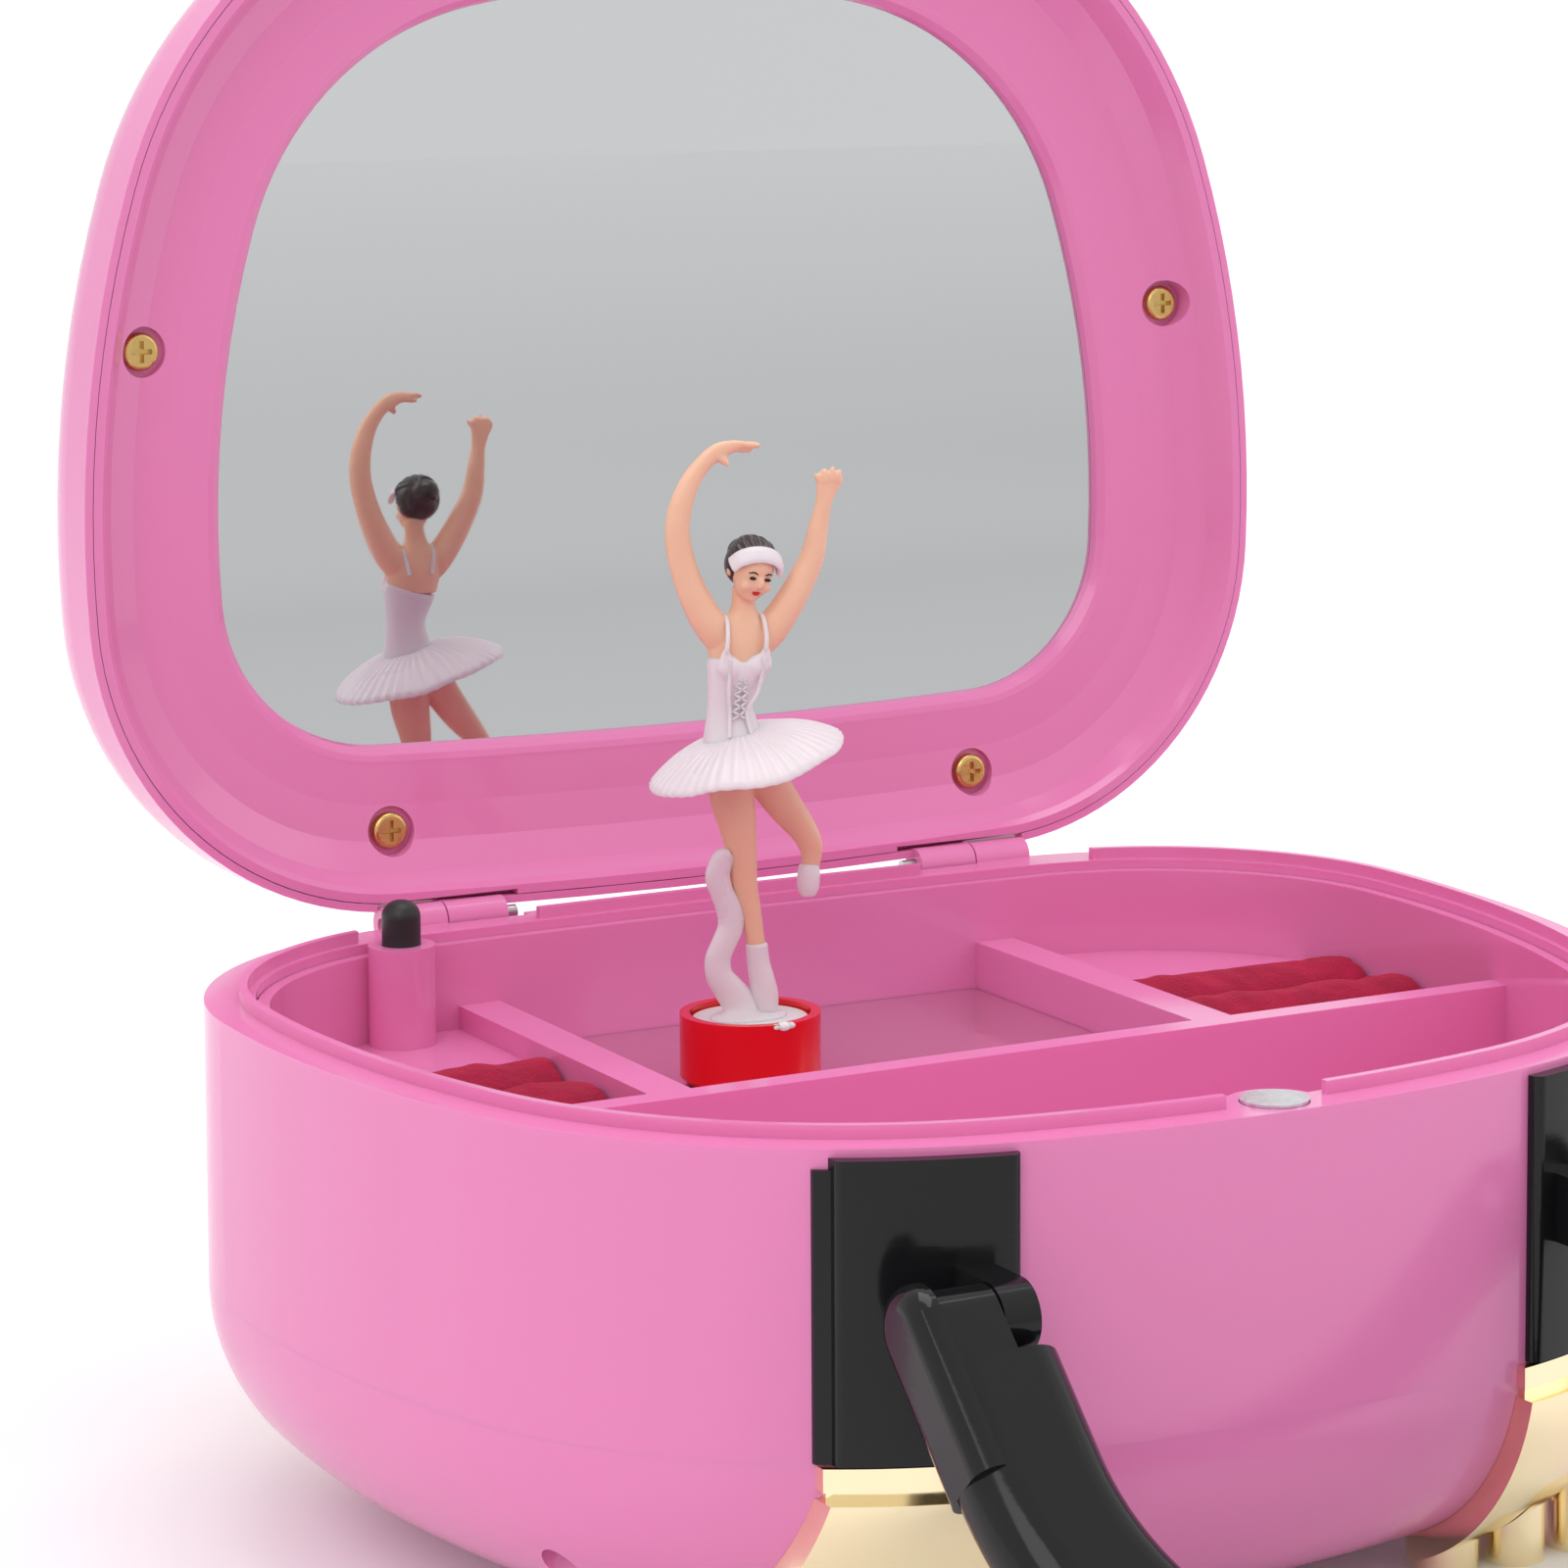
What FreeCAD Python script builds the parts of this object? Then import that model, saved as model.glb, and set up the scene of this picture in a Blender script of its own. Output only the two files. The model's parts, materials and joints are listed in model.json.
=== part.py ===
"""Ballerina jewellery box, shaped like a small handbag that lies on its back.

Frame: +Z up, +X along the hinge line, +Y from the handle to the hinge. The origin is the middle of the
outline's bounding box, on the table. Lengths are in millimetres and angles in degrees.
"""
import FreeCAD
import Part
import Sketcher
import math
import os

os.makedirs("parts", exist_ok=True)
Vector = FreeCAD.Vector
Rotation = FreeCAD.Rotation
Placement = FreeCAD.Placement
X_AXIS = Vector(1, 0, 0)
Y_AXIS = Vector(0, 1, 0)
Z_AXIS = Vector(0, 0, 1)

doc = FreeCAD.newDocument("JewelleryBox")

# ---------------------------------------------------------------- driving dimensions
DIMENSIONS = {
    # outline of the box seen from above: tangent arcs from the middle of the back to the middle of the front
    "back_radius": 1130, "back_half_angle": 2.2,
    "back_corner_radius": 40, "back_corner_angle": 84.2,
    "side_radius": 148, "side_angle": 20.6,
    "front_corner_radius": 59, "front_corner_angle": 61.5,
    # levels above the table
    "rim_height": 61.5, "seam_height": 28.5, "belly_height": 2.5, "belly_inset": 30,
    "shell_wall": 2.2, "ledge_width": 5.9, "ledge_thickness": 2.0,
    "lip_inset": 4.0, "lip_width": 1.0, "lip_height": 1.45,
    # inner tray
    "tray_inset": 6.0, "tray_wall": 1.5, "tray_rim_drop": 1.2,
    "stage_half_width": 33.8, "stage_depth": 15.05, "stage_plate": 1.6, "stage_sheet": 0.5,
    "divider_width": 5.5, "divider_depth": 9.0,
    "front_divider_back": 0.65, "front_divider_width": 3.5, "front_divider_depth": 7.0,
    "shelf_depth": 11.9, "shelf_front": 40.3,
    "pocket_depth": 19.5, "trough_depth": 21.5, "tray_floor": 1.5,
    # lid stop plunger in its tower
    "tower_side": 48.3, "tower_back": 55.5, "tower_radius": 4.05,
    "plunger_radius": 2.35, "plunger_rise": 5.4, "plunger_length": 16.0,
    # lid, drawn closed and then opened about the hinge
    "lid_open_angle": 91.5, "lid_gap": 0.15, "lid_height": 24.0, "lid_wall": 1.8, "lid_edge_wall": 1.0,
    "lid_rounding": 17.0, "frame_clearance": 0.1, "mirror_depth": 8.3, "mirror_thickness": 1.5,
    "window_inset": 19.8, "mirror_inset": 15.5,
    "hinge_offset": 0.7, "knuckle_radius": 2.3, "knuckle_inner": 29.5, "knuckle_middle": 37.6,
    "knuckle_outer": 45.7, "hinge_pin_radius": 0.9,
    # dancer on her magnetic cup
    "dancer_side": 15.0, "dancer_back": 28.45, "cup_radius": 8.45, "cup_height": 8.6, "cup_wall": 1.2,
    "disc_radius": 6.9, "cup_magnet_radius": 5.0, "cup_magnet_height": 3.0,
    "skirt_low": 39.0, "skirt_high": 45.6, "skirt_radius": 10.9, "skirt_waist": 3.4, "skirt_wall": 0.6,
    # straps, handle and gilt feet
    "strap_inner": 32.0, "strap_outer": 50.0, "strap_flange": 1.5, "strap_thickness": 1.6, "strap_top": 0.9,
    "wrap_gap": 0.03,
    "pivot_depth": 15.8, "pivot_reach": 9.6, "ear_inner": 35.2, "ear_outer": 39.3, "ear_radius": 3.8,
    "handle_inner": 34.2, "handle_outer": 49.6, "handle_thickness": 9.4, "handle_corner": 4.4,
    "handle_leg": 18.0, "handle_bend": 35.0, "handle_notch": 6.0, "handle_cheek": 3.0,
    "handle_pin_radius": 1.5, "foot_thickness": 3.0, "foot_inner": 29.0, "foot_outer": 56.6,
    "foot_toe_inset": 20.0, "foot_brim": 1.2, "foot_waist": 3.4, "foot_groove": 0.9,
    # music movement
    "gear_module": 0.8, "barrel_teeth": 28, "turntable_teeth": 14, "gear_height": 2.4,
    "barrel_height": 11.0, "bedplate_level": 14.0, "bedplate_thickness": 2.0,
    "arbor_radius": 1.6, "turntable_shaft_radius": 1.25, "drive_magnet_radius": 7.0,
    "cylinder_radius": 5.2, "cylinder_length": 19.0, "fan_radius": 3.6,
    "key_radius": 9.0, "key_well_radius": 14.0, "key_well_depth": 9.0,
    # screws that join the two halves of the case
    "screw_inset": 7.0, "screw_boss_radius": 4.0, "screw_pilot_radius": 1.35, "catch_boss_radius": 5.3,
    "running_gap": 0.05,
}

sheet = doc.addObject("Spreadsheet::Sheet", "sheet")
for row, (alias, value) in enumerate(DIMENSIONS.items(), start=1):
    sheet.set("A%d" % row, alias)
    sheet.set("B%d" % row, str(value))
    sheet.setAlias("B%d" % row, alias)
doc.recompute()


def size(alias):
    """Value of a driving dimension, read back from the sheet."""
    return float(sheet.get(alias))


# ---------------------------------------------------------------- outline
def outline_arcs():
    """Arcs of the right half: (centre x, centre y, radius, start heading, end heading).

    A heading is measured clockwise from +X, so the outward normal is (sin, cos) of it.
    """
    spans = [
        (size("back_radius"), size("back_half_angle")),
        (size("back_corner_radius"), size("back_corner_angle")),
        (size("side_radius"), size("side_angle")),
        (size("front_corner_radius"), size("front_corner_angle")),
    ]
    arcs = []
    centre_x = 0.0
    centre_y = -spans[0][0]
    heading = 0.0
    previous = spans[0][0]
    for radius, angle in spans:
        centre_x += (previous - radius) * math.sin(heading)
        centre_y += (previous - radius) * math.cos(heading)
        end = heading + math.radians(angle)
        arcs.append((centre_x, centre_y, radius, heading, end))
        heading = end
        previous = radius
    front_radius = previous + centre_x / math.sin(heading)
    centre_y += (previous - front_radius) * math.cos(heading)
    arcs.append((0.0, centre_y, front_radius, heading, math.pi))
    middle = (centre_y - front_radius) / 2
    return [(x, y - middle, radius, start, end) for x, y, radius, start, end in arcs]


ARCS = outline_arcs()
BACK_Y = ARCS[0][1] + ARCS[0][2]
FRONT_Y = -BACK_Y


def outline_point(arc, heading, inset, height):
    centre_x, centre_y, radius = arc[:3]
    reach = radius - inset
    return Vector(centre_x + reach * math.sin(heading), centre_y + reach * math.cos(heading), height)


def outline_wire(inset, height):
    """Closed outline at a constant distance inside the box's edge."""
    right = []
    for arc in ARCS:
        start, end = arc[3], arc[4]
        headings = (start, (start + end) / 2, end)
        right.append([outline_point(arc, heading, inset, height) for heading in headings])
    left = [[Vector(-p.x, p.y, p.z) for p in reversed(points)] for points in reversed(right)]
    back = [left[-1][0], right[0][0], right[0][2]]
    front = [right[-1][0], right[-1][2], left[0][2]]
    loops = [back] + right[1:-1] + [front] + left[1:-1]
    return Part.Wire([Part.Arc(*points).toShape() for points in loops])


def prism(inset, low, high):
    return Part.Face(outline_wire(inset, low)).extrude(Vector(0, 0, high - low))


def ring(outer, inner, low, high):
    return prism(outer, low, high).cut(prism(inner, low - 1, high + 1))


def lofted(sections, ruled=False):
    """Solid through outlines given as (inset, height) pairs."""
    return Part.makeLoft([outline_wire(inset, height) for inset, height in sections], True, ruled)


def block(x_low, x_high, y_low, y_high, z_low, z_high):
    corner = Vector(x_low, y_low, z_low)
    return Part.makeBox(x_high - x_low, y_high - y_low, z_high - z_low, corner)


def rod(radius, start, end):
    return Part.makeCylinder(radius, (end - start).Length, start, end - start)


def united(shapes):
    return shapes[0].multiFuse(shapes[1:]).removeSplitter()


def mirrored(shape):
    return shape.mirror(Vector(0, 0, 0), X_AXIS)


def front_surface_y(side, inset=0.0):
    """Y of the front wall at a distance from the middle plane."""
    for arc in reversed(ARCS):
        reach = arc[2] - inset
        offset = (side - arc[0]) / reach
        if abs(offset) < 1:
            heading = math.pi - math.asin(offset)
            if arc[3] - 1e-9 <= heading <= arc[4] + 1e-9:
                return arc[1] + reach * math.cos(heading)
    raise ValueError("no front wall at %g" % side)


RIM = size("rim_height")
SEAM = size("seam_height")
HINGE = Vector(0, BACK_Y + size("hinge_offset"), RIM)
DANCER = Vector(-size("dancer_side"), size("dancer_back"), RIM - size("stage_depth"))
STAGE = RIM - size("stage_depth")
PIVOT = Vector(0, front_surface_y(42) - size("pivot_reach"), RIM - size("pivot_depth"))
GEAR_DISTANCE = size("gear_module") * (size("barrel_teeth") + size("turntable_teeth")) / 2
BARREL = Vector(DANCER.x + GEAR_DISTANCE, DANCER.y, 0)

SUBPARTS = []


def keep(shape, label, placement=None):
    """Store a computed solid as a sub-part of the document."""
    feature = doc.addObject("Part::Feature", label)
    feature.Shape = shape
    feature.Label = label
    if placement is not None:
        feature.Placement = placement
    SUBPARTS.append(feature)
    return feature


def about(axis_point, axis, degrees):
    """Placement that turns a piece about a line."""
    return Placement(Vector(0, 0, 0), Rotation(axis, degrees), axis_point)


LID_OPEN = about(HINGE, X_AXIS, -size("lid_open_angle"))


# ---------------------------------------------------------------- sketch-based pieces
def new_body(label):
    body = doc.addObject("PartDesign::Body", label)
    body.Label = label
    SUBPARTS.append(body)
    return body


def origin_plane(body, role):
    for feature in body.Origin.OriginFeatures:
        if feature.Role == role:
            return feature
    raise ValueError(role)


def new_sketch(body, name, role="XY_Plane", height=None):
    sketch = body.newObject("Sketcher::SketchObject", name)
    sketch.AttachmentSupport = [(origin_plane(body, role), "")]
    sketch.MapMode = "FlatFace"
    if height is not None:
        sketch.setExpression("AttachmentOffset.Base.z", height)
    return sketch


def add_circle(sketch, radius, x=0.0, y=0.0):
    """Circle whose radius is bound to a formula over the sheet."""
    index = sketch.addGeometry(Part.Circle(Vector(x, y, 0), Z_AXIS, 1.0), False)
    name = "radius%d" % index
    number = sketch.addConstraint(Sketcher.Constraint("Radius", index, 1.0))
    sketch.renameConstraint(number, name)
    if x == 0 and y == 0:
        sketch.addConstraint(Sketcher.Constraint("Coincident", index, 3, -1, 1))
    else:
        sketch.addConstraint(Sketcher.Constraint("DistanceX", -1, 1, index, 3, x))
        sketch.addConstraint(Sketcher.Constraint("DistanceY", -1, 1, index, 3, y))
    sketch.setExpression("Constraints.%s" % name, radius)
    return index


def add_polygon(sketch, points):
    count = len(points)
    corners = [Vector(x, y, 0) for x, y in points]
    for index in range(count):
        sketch.addGeometry(Part.LineSegment(corners[index], corners[(index + 1) % count]), False)
    for index in range(count):
        sketch.addConstraint(Sketcher.Constraint("Coincident", index, 2, (index + 1) % count, 1))


def add_pad(body, sketch, length, name="Pad", reverse=False):
    pad = body.newObject("PartDesign::Pad", name)
    pad.Profile = sketch
    pad.setExpression("Length", length)
    pad.Reversed = reverse
    sketch.Visibility = False
    return pad


def add_pocket(body, sketch, length, name="Pocket", reverse=False):
    pocket = body.newObject("PartDesign::Pocket", name)
    pocket.Profile = sketch
    pocket.setExpression("Length", length)
    pocket.Reversed = reverse
    doc.recompute()
    return pocket


def padded_disc(body, radius, length, height=None, name="Disc"):
    sketch = new_sketch(body, name + "Sketch", "XY_Plane", height)
    add_circle(sketch, radius)
    return add_pad(body, sketch, length, name)


def revolved(body, points, name="Turned"):
    """Turned piece from (radius, height) points, about the body's own Z axis."""
    sketch = new_sketch(body, name + "Sketch", "XZ_Plane")
    add_polygon(sketch, points)
    turned = body.newObject("PartDesign::Revolution", name)
    turned.Profile = sketch
    turned.ReferenceAxis = (sketch, ["V_Axis"])
    turned.Angle = 360
    return turned


# ---------------------------------------------------------------- base: upper shell
CATCH_Y = FRONT_Y + 4.6

def corner_spots(inset):
    """One spot near each rounded corner of the outline, at the same distance inside it."""
    back = outline_point(ARCS[1], math.radians(50), inset, 0)
    front = outline_point(ARCS[3], math.radians(115), inset, 0)
    return [back, front, Vector(-back.x, back.y, 0), Vector(-front.x, front.y, 0)]


SCREW_SPOTS = corner_spots(size("screw_inset"))
HEAD_SEAT = SEAM - 8.0


def hinge_rod(radius, side, start, end):
    """Rod on the hinge line between two distances from the middle plane."""
    return rod(radius, Vector(side * start, HINGE.y, RIM), Vector(side * end, HINGE.y, RIM))


def base_shell():
    ledge_low = RIM - size("ledge_thickness")
    lip_inner = size("lip_inset") + size("lip_width")
    lip_top = RIM + size("lip_height")
    lip = ring(size("lip_inset"), lip_inner, RIM - 0.5, lip_top)
    lip = lip.cut(block(-6.3, 6.3, FRONT_Y, 0, RIM, lip_top + 1))
    for low, high in ((-52, -27), (27, 52)):
        lip = lip.cut(block(low, high, 0, BACK_Y, RIM, lip_top + 1))
    catch_low = ledge_low - 2.5
    catch_boss = Part.makeCylinder(size("catch_boss_radius"), RIM - catch_low, Vector(0, CATCH_Y, catch_low))
    shell = united([
        ring(0, size("shell_wall"), SEAM, RIM),
        ring(0, size("ledge_width"), ledge_low, RIM),
        lip,
        catch_boss.common(prism(0.5, SEAM, RIM)),
    ])
    shell = shell.cut(Part.makeCylinder(3.8, 3, Vector(0, CATCH_Y, RIM - 2.1)))
    tray_low = RIM - size("trough_depth") - size("tray_floor")
    level = Vector(0, 0, SEAM)
    boss_height = tray_low - 0.05 - SEAM
    for spot, wall_spot in zip(SCREW_SPOTS, corner_spots(size("shell_wall"))):
        boss = Part.makeCylinder(size("screw_boss_radius"), boss_height, spot + level)
        web = Part.makeCylinder(size("screw_boss_radius") - 1, boss_height, wall_spot + level)
        shell = shell.fuse(boss.fuse(web).common(prism(1, SEAM, RIM)))
        shell = shell.cut(Part.makeCylinder(size("screw_pilot_radius"), 9, spot + Vector(0, 0, SEAM - 0.1)))
    radius = size("knuckle_radius")
    for side in (-1, 1):
        shell = shell.cut(hinge_rod(radius + 0.4, side, size("knuckle_inner") - 2.6, size("knuckle_middle")))
        shell = shell.fuse(hinge_rod(radius, side, size("knuckle_middle") + 0.1, size("knuckle_outer")))
        shell = shell.cut(hinge_rod(size("hinge_pin_radius") + size("running_gap"), side, 26, 47))
    return shell.removeSplitter()


def catch_magnet():
    body = new_body("catch_magnet")
    padded_disc(body, "3.7", "2.4")
    body.Placement = Placement(Vector(0, CATCH_Y, RIM - 2.05), Rotation())


def hinge_pins():
    pins = [hinge_rod(size("hinge_pin_radius"), side, 27.6, size("knuckle_outer") - 0.6) for side in (-1, 1)]
    keep(Part.makeCompound(pins), "hinge_pins")


# ---------------------------------------------------------------- base: rounded bottom shell
def belly(grow=0.0):
    """Rounded bottom as a solid, optionally grown by a constant thickness."""
    across = size("belly_inset")
    depth = SEAM - size("belly_height")
    steps = 9
    sections = []
    for step in range(steps):
        angle = math.radians(90 * step / (steps - 1))
        slope = math.hypot(math.cos(angle) / across, math.sin(angle) / depth)
        out_x = grow * math.cos(angle) / across / slope
        out_z = grow * math.sin(angle) / depth / slope
        sections.append((across * (1 - math.cos(angle)) - out_x, SEAM - depth * math.sin(angle) - out_z))
    return lofted(sections)


def bottom_shell():
    wall = size("shell_wall")
    cavity = belly(-wall).fuse(prism(wall, SEAM - 0.01, SEAM + 1))
    floor_top = size("belly_height") + wall
    shell = belly().cut(cavity)
    well = Part.makeCylinder(size("key_well_radius") + 1.6, size("key_well_depth") + 1.4,
                             Vector(BARREL.x, BARREL.y, size("belly_height") + 0.1))
    shell = shell.fuse(well)
    for spot in SCREW_SPOTS:
        shell = shell.fuse(Part.makeCylinder(size("screw_boss_radius"), SEAM, spot).common(belly(-0.5)))
    for x, y in MOVEMENT_POSTS:
        height = size("bedplate_level") - floor_top + 1
        shell = shell.fuse(Part.makeCylinder(3.0, height, Vector(x, y, floor_top - 1)))
    shell = shell.cut(Part.makeCylinder(size("key_well_radius"), size("key_well_depth") + 0.1,
                                        Vector(BARREL.x, BARREL.y, size("belly_height") - 0.1)))
    shell = shell.cut(Part.makeCylinder(size("arbor_radius") + 0.5, 30, Vector(BARREL.x, BARREL.y, 0)))
    for spot in SCREW_SPOTS:
        shell = shell.cut(Part.makeCylinder(2.6, HEAD_SEAT, spot))
        shell = shell.cut(Part.makeCylinder(size("screw_pilot_radius"), SEAM + 1, spot))
    for x, y in MOVEMENT_POSTS:
        shell = shell.cut(Part.makeCylinder(0.8, 7, Vector(x, y, size("bedplate_level") - 6)))
    return shell.removeSplitter()


def pan_screw(head_radius, head_height, shank_radius, length):
    """Cross-recess screw that points down, its head's underside at z = 0."""
    head = Part.makeCylinder(head_radius, head_height)
    head = head.makeFillet(head_height * 0.45, [head.Edges[0]])
    arm = head_radius * 1.15
    slot = united([
        Part.makeBox(arm, 0.6, head_height * 0.6, Vector(-arm / 2, -0.3, head_height * 0.45)),
        Part.makeBox(0.6, arm, head_height * 0.6, Vector(-0.3, -arm / 2, head_height * 0.45)),
    ])
    shank = Part.makeCylinder(shank_radius, length, Vector(0, 0, -length))
    return head.cut(slot).fuse(shank).removeSplitter()


def screw_group(label, screw, placements):
    copies = []
    for placement in placements:
        copy = screw.copy()
        copy.Placement = placement
        copies.append(copy)
    return keep(Part.makeCompound(copies), label)


def base_screws():
    screw = pan_screw(2.4, 1.5, 1.3, 16)
    upside_down = Rotation(X_AXIS, 180)
    seats = [spot + Vector(0, 0, HEAD_SEAT) for spot in SCREW_SPOTS]
    screw_group("base_screws", screw, [Placement(seat, upside_down) for seat in seats])


# ---------------------------------------------------------------- inner tray
def tray():
    inset = size("tray_inset")
    wall = size("tray_wall")
    floor = size("tray_floor")
    top = RIM - size("tray_rim_drop")
    pocket = RIM - size("pocket_depth")
    trough = RIM - size("trough_depth")
    shelf = RIM - size("shelf_depth")
    divider = RIM - size("divider_depth")
    front_divider = RIM - size("front_divider_depth")
    low = trough - floor
    half = size("stage_half_width")
    outer_half = half + size("divider_width")
    back_of_front = -size("front_divider_back")
    front_of_front = back_of_front - size("front_divider_width")
    shelf_front = size("shelf_front")
    stage_low = STAGE - size("stage_sheet") - size("stage_plate")
    whole = 200
    pieces = [
        ring(inset, inset + wall, low, top),
        block(-whole, whole, -whole, front_of_front + 0.5, low, trough),
        block(-whole, whole, front_of_front, back_of_front, low, front_divider),
        block(-half - 1, half + 1, back_of_front - 0.5, whole, stage_low, STAGE - size("stage_sheet")),
    ]
    for side in (-1, 1):
        def span(near, far, y_low, y_high, z_low, z_high, side=side):
            x_low, x_high = sorted((side * near, side * far))
            return block(x_low, x_high, y_low, y_high, z_low, z_high)
        pieces.append(span(half, outer_half, back_of_front - 0.5, whole, pocket - floor, divider))
        pieces.append(span(outer_half - 0.5, whole, back_of_front - 0.5, shelf_front, pocket - floor, pocket))
        pieces.append(span(outer_half - 0.5, whole, shelf_front - wall, whole, shelf - floor, shelf))
        pieces.append(span(outer_half - 0.5, whole, shelf_front - wall, shelf_front, pocket - floor, shelf))
    body = united([piece.common(prism(inset, low - 1, top + 1)) for piece in pieces])
    tower = rod(size("tower_radius"), Vector(-size("tower_side"), size("tower_back"), shelf - floor),
                Vector(-size("tower_side"), size("tower_back"), RIM + 0.3))
    body = body.fuse(tower.common(prism(inset, 0, RIM + 5)))
    bore = rod(size("plunger_radius") + size("running_gap"),
               Vector(-size("tower_side"), size("tower_back"), shelf - floor - 1),
               Vector(-size("tower_side"), size("tower_back"), RIM + 3))
    cup_room = rod(size("tower_radius") + 0.1, Vector(-size("tower_side"), size("tower_back"), low - 1),
                   Vector(-size("tower_side"), size("tower_back"), shelf - floor))
    catch_low = RIM - size("ledge_thickness") - 2.7
    catch_room = rod(size("catch_boss_radius") + 0.15, Vector(0, CATCH_Y, catch_low), Vector(0, CATCH_Y, RIM))
    body = body.cut(bore).cut(cup_room).cut(catch_room)
    return body.removeSplitter()


def stage_panel():
    half = size("stage_half_width") - 0.15
    low = STAGE - size("stage_sheet")
    panel = block(-half, half, -size("front_divider_back") + 0.15, 200, low + 0.02, STAGE)
    keep(panel.common(prism(size("tray_inset") + size("tray_wall") + 0.15, 0, RIM)), "stage_panel")


def ring_cushions():
    """Rolled ring cushions: three rolls side by side on a flat pad, one cushion in each pocket."""
    base = RIM - size("pocket_depth") + 0.3
    y_low = -size("front_divider_back") + 0.5
    y_high = size("shelf_front") - size("tray_wall") - 0.5
    x_low = size("stage_half_width") + size("divider_width") + 0.5
    room = prism(size("tray_inset") + size("tray_wall") + 0.5, 0, RIM)
    pitch = (y_high - y_low) / 3
    radius = pitch / 2 - 0.4
    pieces = [block(x_low, 100, y_low, y_high, base, base + 3)]
    for number in range(3):
        y = y_low + pitch * (number + 0.5)
        pieces.append(block(x_low, 100, y - radius, y + radius, base + 2, base + 3.2))
        pieces.append(rod(radius, Vector(x_low, y, base + 3.1), Vector(100, y, base + 3.1)))
    cushion = united(pieces).common(room).common(block(0, 100, -100, 100, base, RIM))
    keep(mirrored(cushion), "left_ring_cushion")
    keep(cushion.copy(), "right_ring_cushion")


# ---------------------------------------------------------------- lid stop plunger
def plunger():
    body = new_body("lid_stop_plunger")
    radius = size("plunger_radius")
    rise = size("plunger_rise")
    tip = rise + 0.3
    sketch = new_sketch(body, "PlungerSketch")
    add_circle(sketch, "sheet.plunger_radius")
    pad = add_pad(body, sketch, "sheet.plunger_length", "Stem")
    doc.recompute()
    rounded = body.newObject("PartDesign::Fillet", "Dome")
    top_edge = max(range(len(pad.Shape.Edges)), key=lambda i: pad.Shape.Edges[i].BoundBox.ZMin)
    rounded.Base = (pad, ["Edge%d" % (top_edge + 1)])
    rounded.Radius = radius * 0.85
    bottom = RIM + tip - size("plunger_length")
    body.Placement = Placement(Vector(-size("tower_side"), size("tower_back"), bottom), Rotation())
    return bottom


def plunger_spring(top, low):
    """Coil spring under the plunger."""
    pitch = 1.1
    height = top - low - 0.7
    wire_radius = 0.3
    coil = Part.makeHelix(pitch, height, 1.6)
    section = Part.Wire([Part.makeCircle(wire_radius, Vector(1.6, 0, 0), Y_AXIS)])
    spring = Part.Wire(coil).makePipeShell([section], True, True)
    spring = Part.Solid(spring) if spring.ShapeType == "Shell" else spring
    place = Placement(Vector(-size("tower_side"), size("tower_back"), low + 0.35), Rotation())
    keep(spring, "plunger_spring", place)


def spring_cup(top):
    """Cup screwed under the tower that the spring stands in."""
    outer = rod(4.0, Vector(0, 0, top - 8.5), Vector(0, 0, top))
    inner = rod(2.6, Vector(0, 0, top - 7.5), Vector(0, 0, top + 1))
    keep(outer.cut(inner), "spring_cup",
         Placement(Vector(-size("tower_side"), size("tower_back"), 0), Rotation()))


# ---------------------------------------------------------------- lid, drawn closed
LID_SCREWS = [(72.3, -3.8), (41.6, 57.3), (50.0, -50.5)]


def lid_shell():
    low = RIM + size("lid_gap")
    top = RIM + size("lid_height")
    outer = prism(0, low, top)
    crown = [edge for edge in outer.Edges if edge.BoundBox.ZMin > top - 0.01]
    outer = outer.makeFillet(size("lid_rounding"), crown)
    wall = size("lid_wall")
    inner = prism(wall, low - 1, top - wall)
    crown = [edge for edge in inner.Edges if edge.BoundBox.ZMin > top - wall - 0.01]
    inner = inner.makeFillet(size("lid_rounding") - wall, crown)
    rabbet = prism(size("lid_edge_wall"), low - 1, RIM + size("mirror_depth") + 0.1)
    shell = outer.cut(inner).cut(rabbet)
    boss_low = RIM + size("mirror_depth") + 0.12
    for x, y in LID_SCREWS:
        for side in (-1, 1):
            boss = rod(3.2, Vector(side * x, y, boss_low), Vector(side * x, y, top - 1))
            shell = shell.fuse(boss.common(outer))
            shell = shell.cut(rod(1.25, Vector(side * x, y, boss_low - 1), Vector(side * x, y, boss_low + 7)))
    radius = size("knuckle_radius")
    for side in (-1, 1):
        shell = shell.cut(hinge_rod(radius + 0.4, side, size("knuckle_middle"), size("knuckle_outer") + 0.3))
        shell = shell.fuse(hinge_rod(radius, side, size("knuckle_inner"), size("knuckle_middle") - 0.1))
        shell = shell.cut(hinge_rod(size("hinge_pin_radius") + size("running_gap"), side, 26, 47))
    return shell.removeSplitter()


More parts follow.
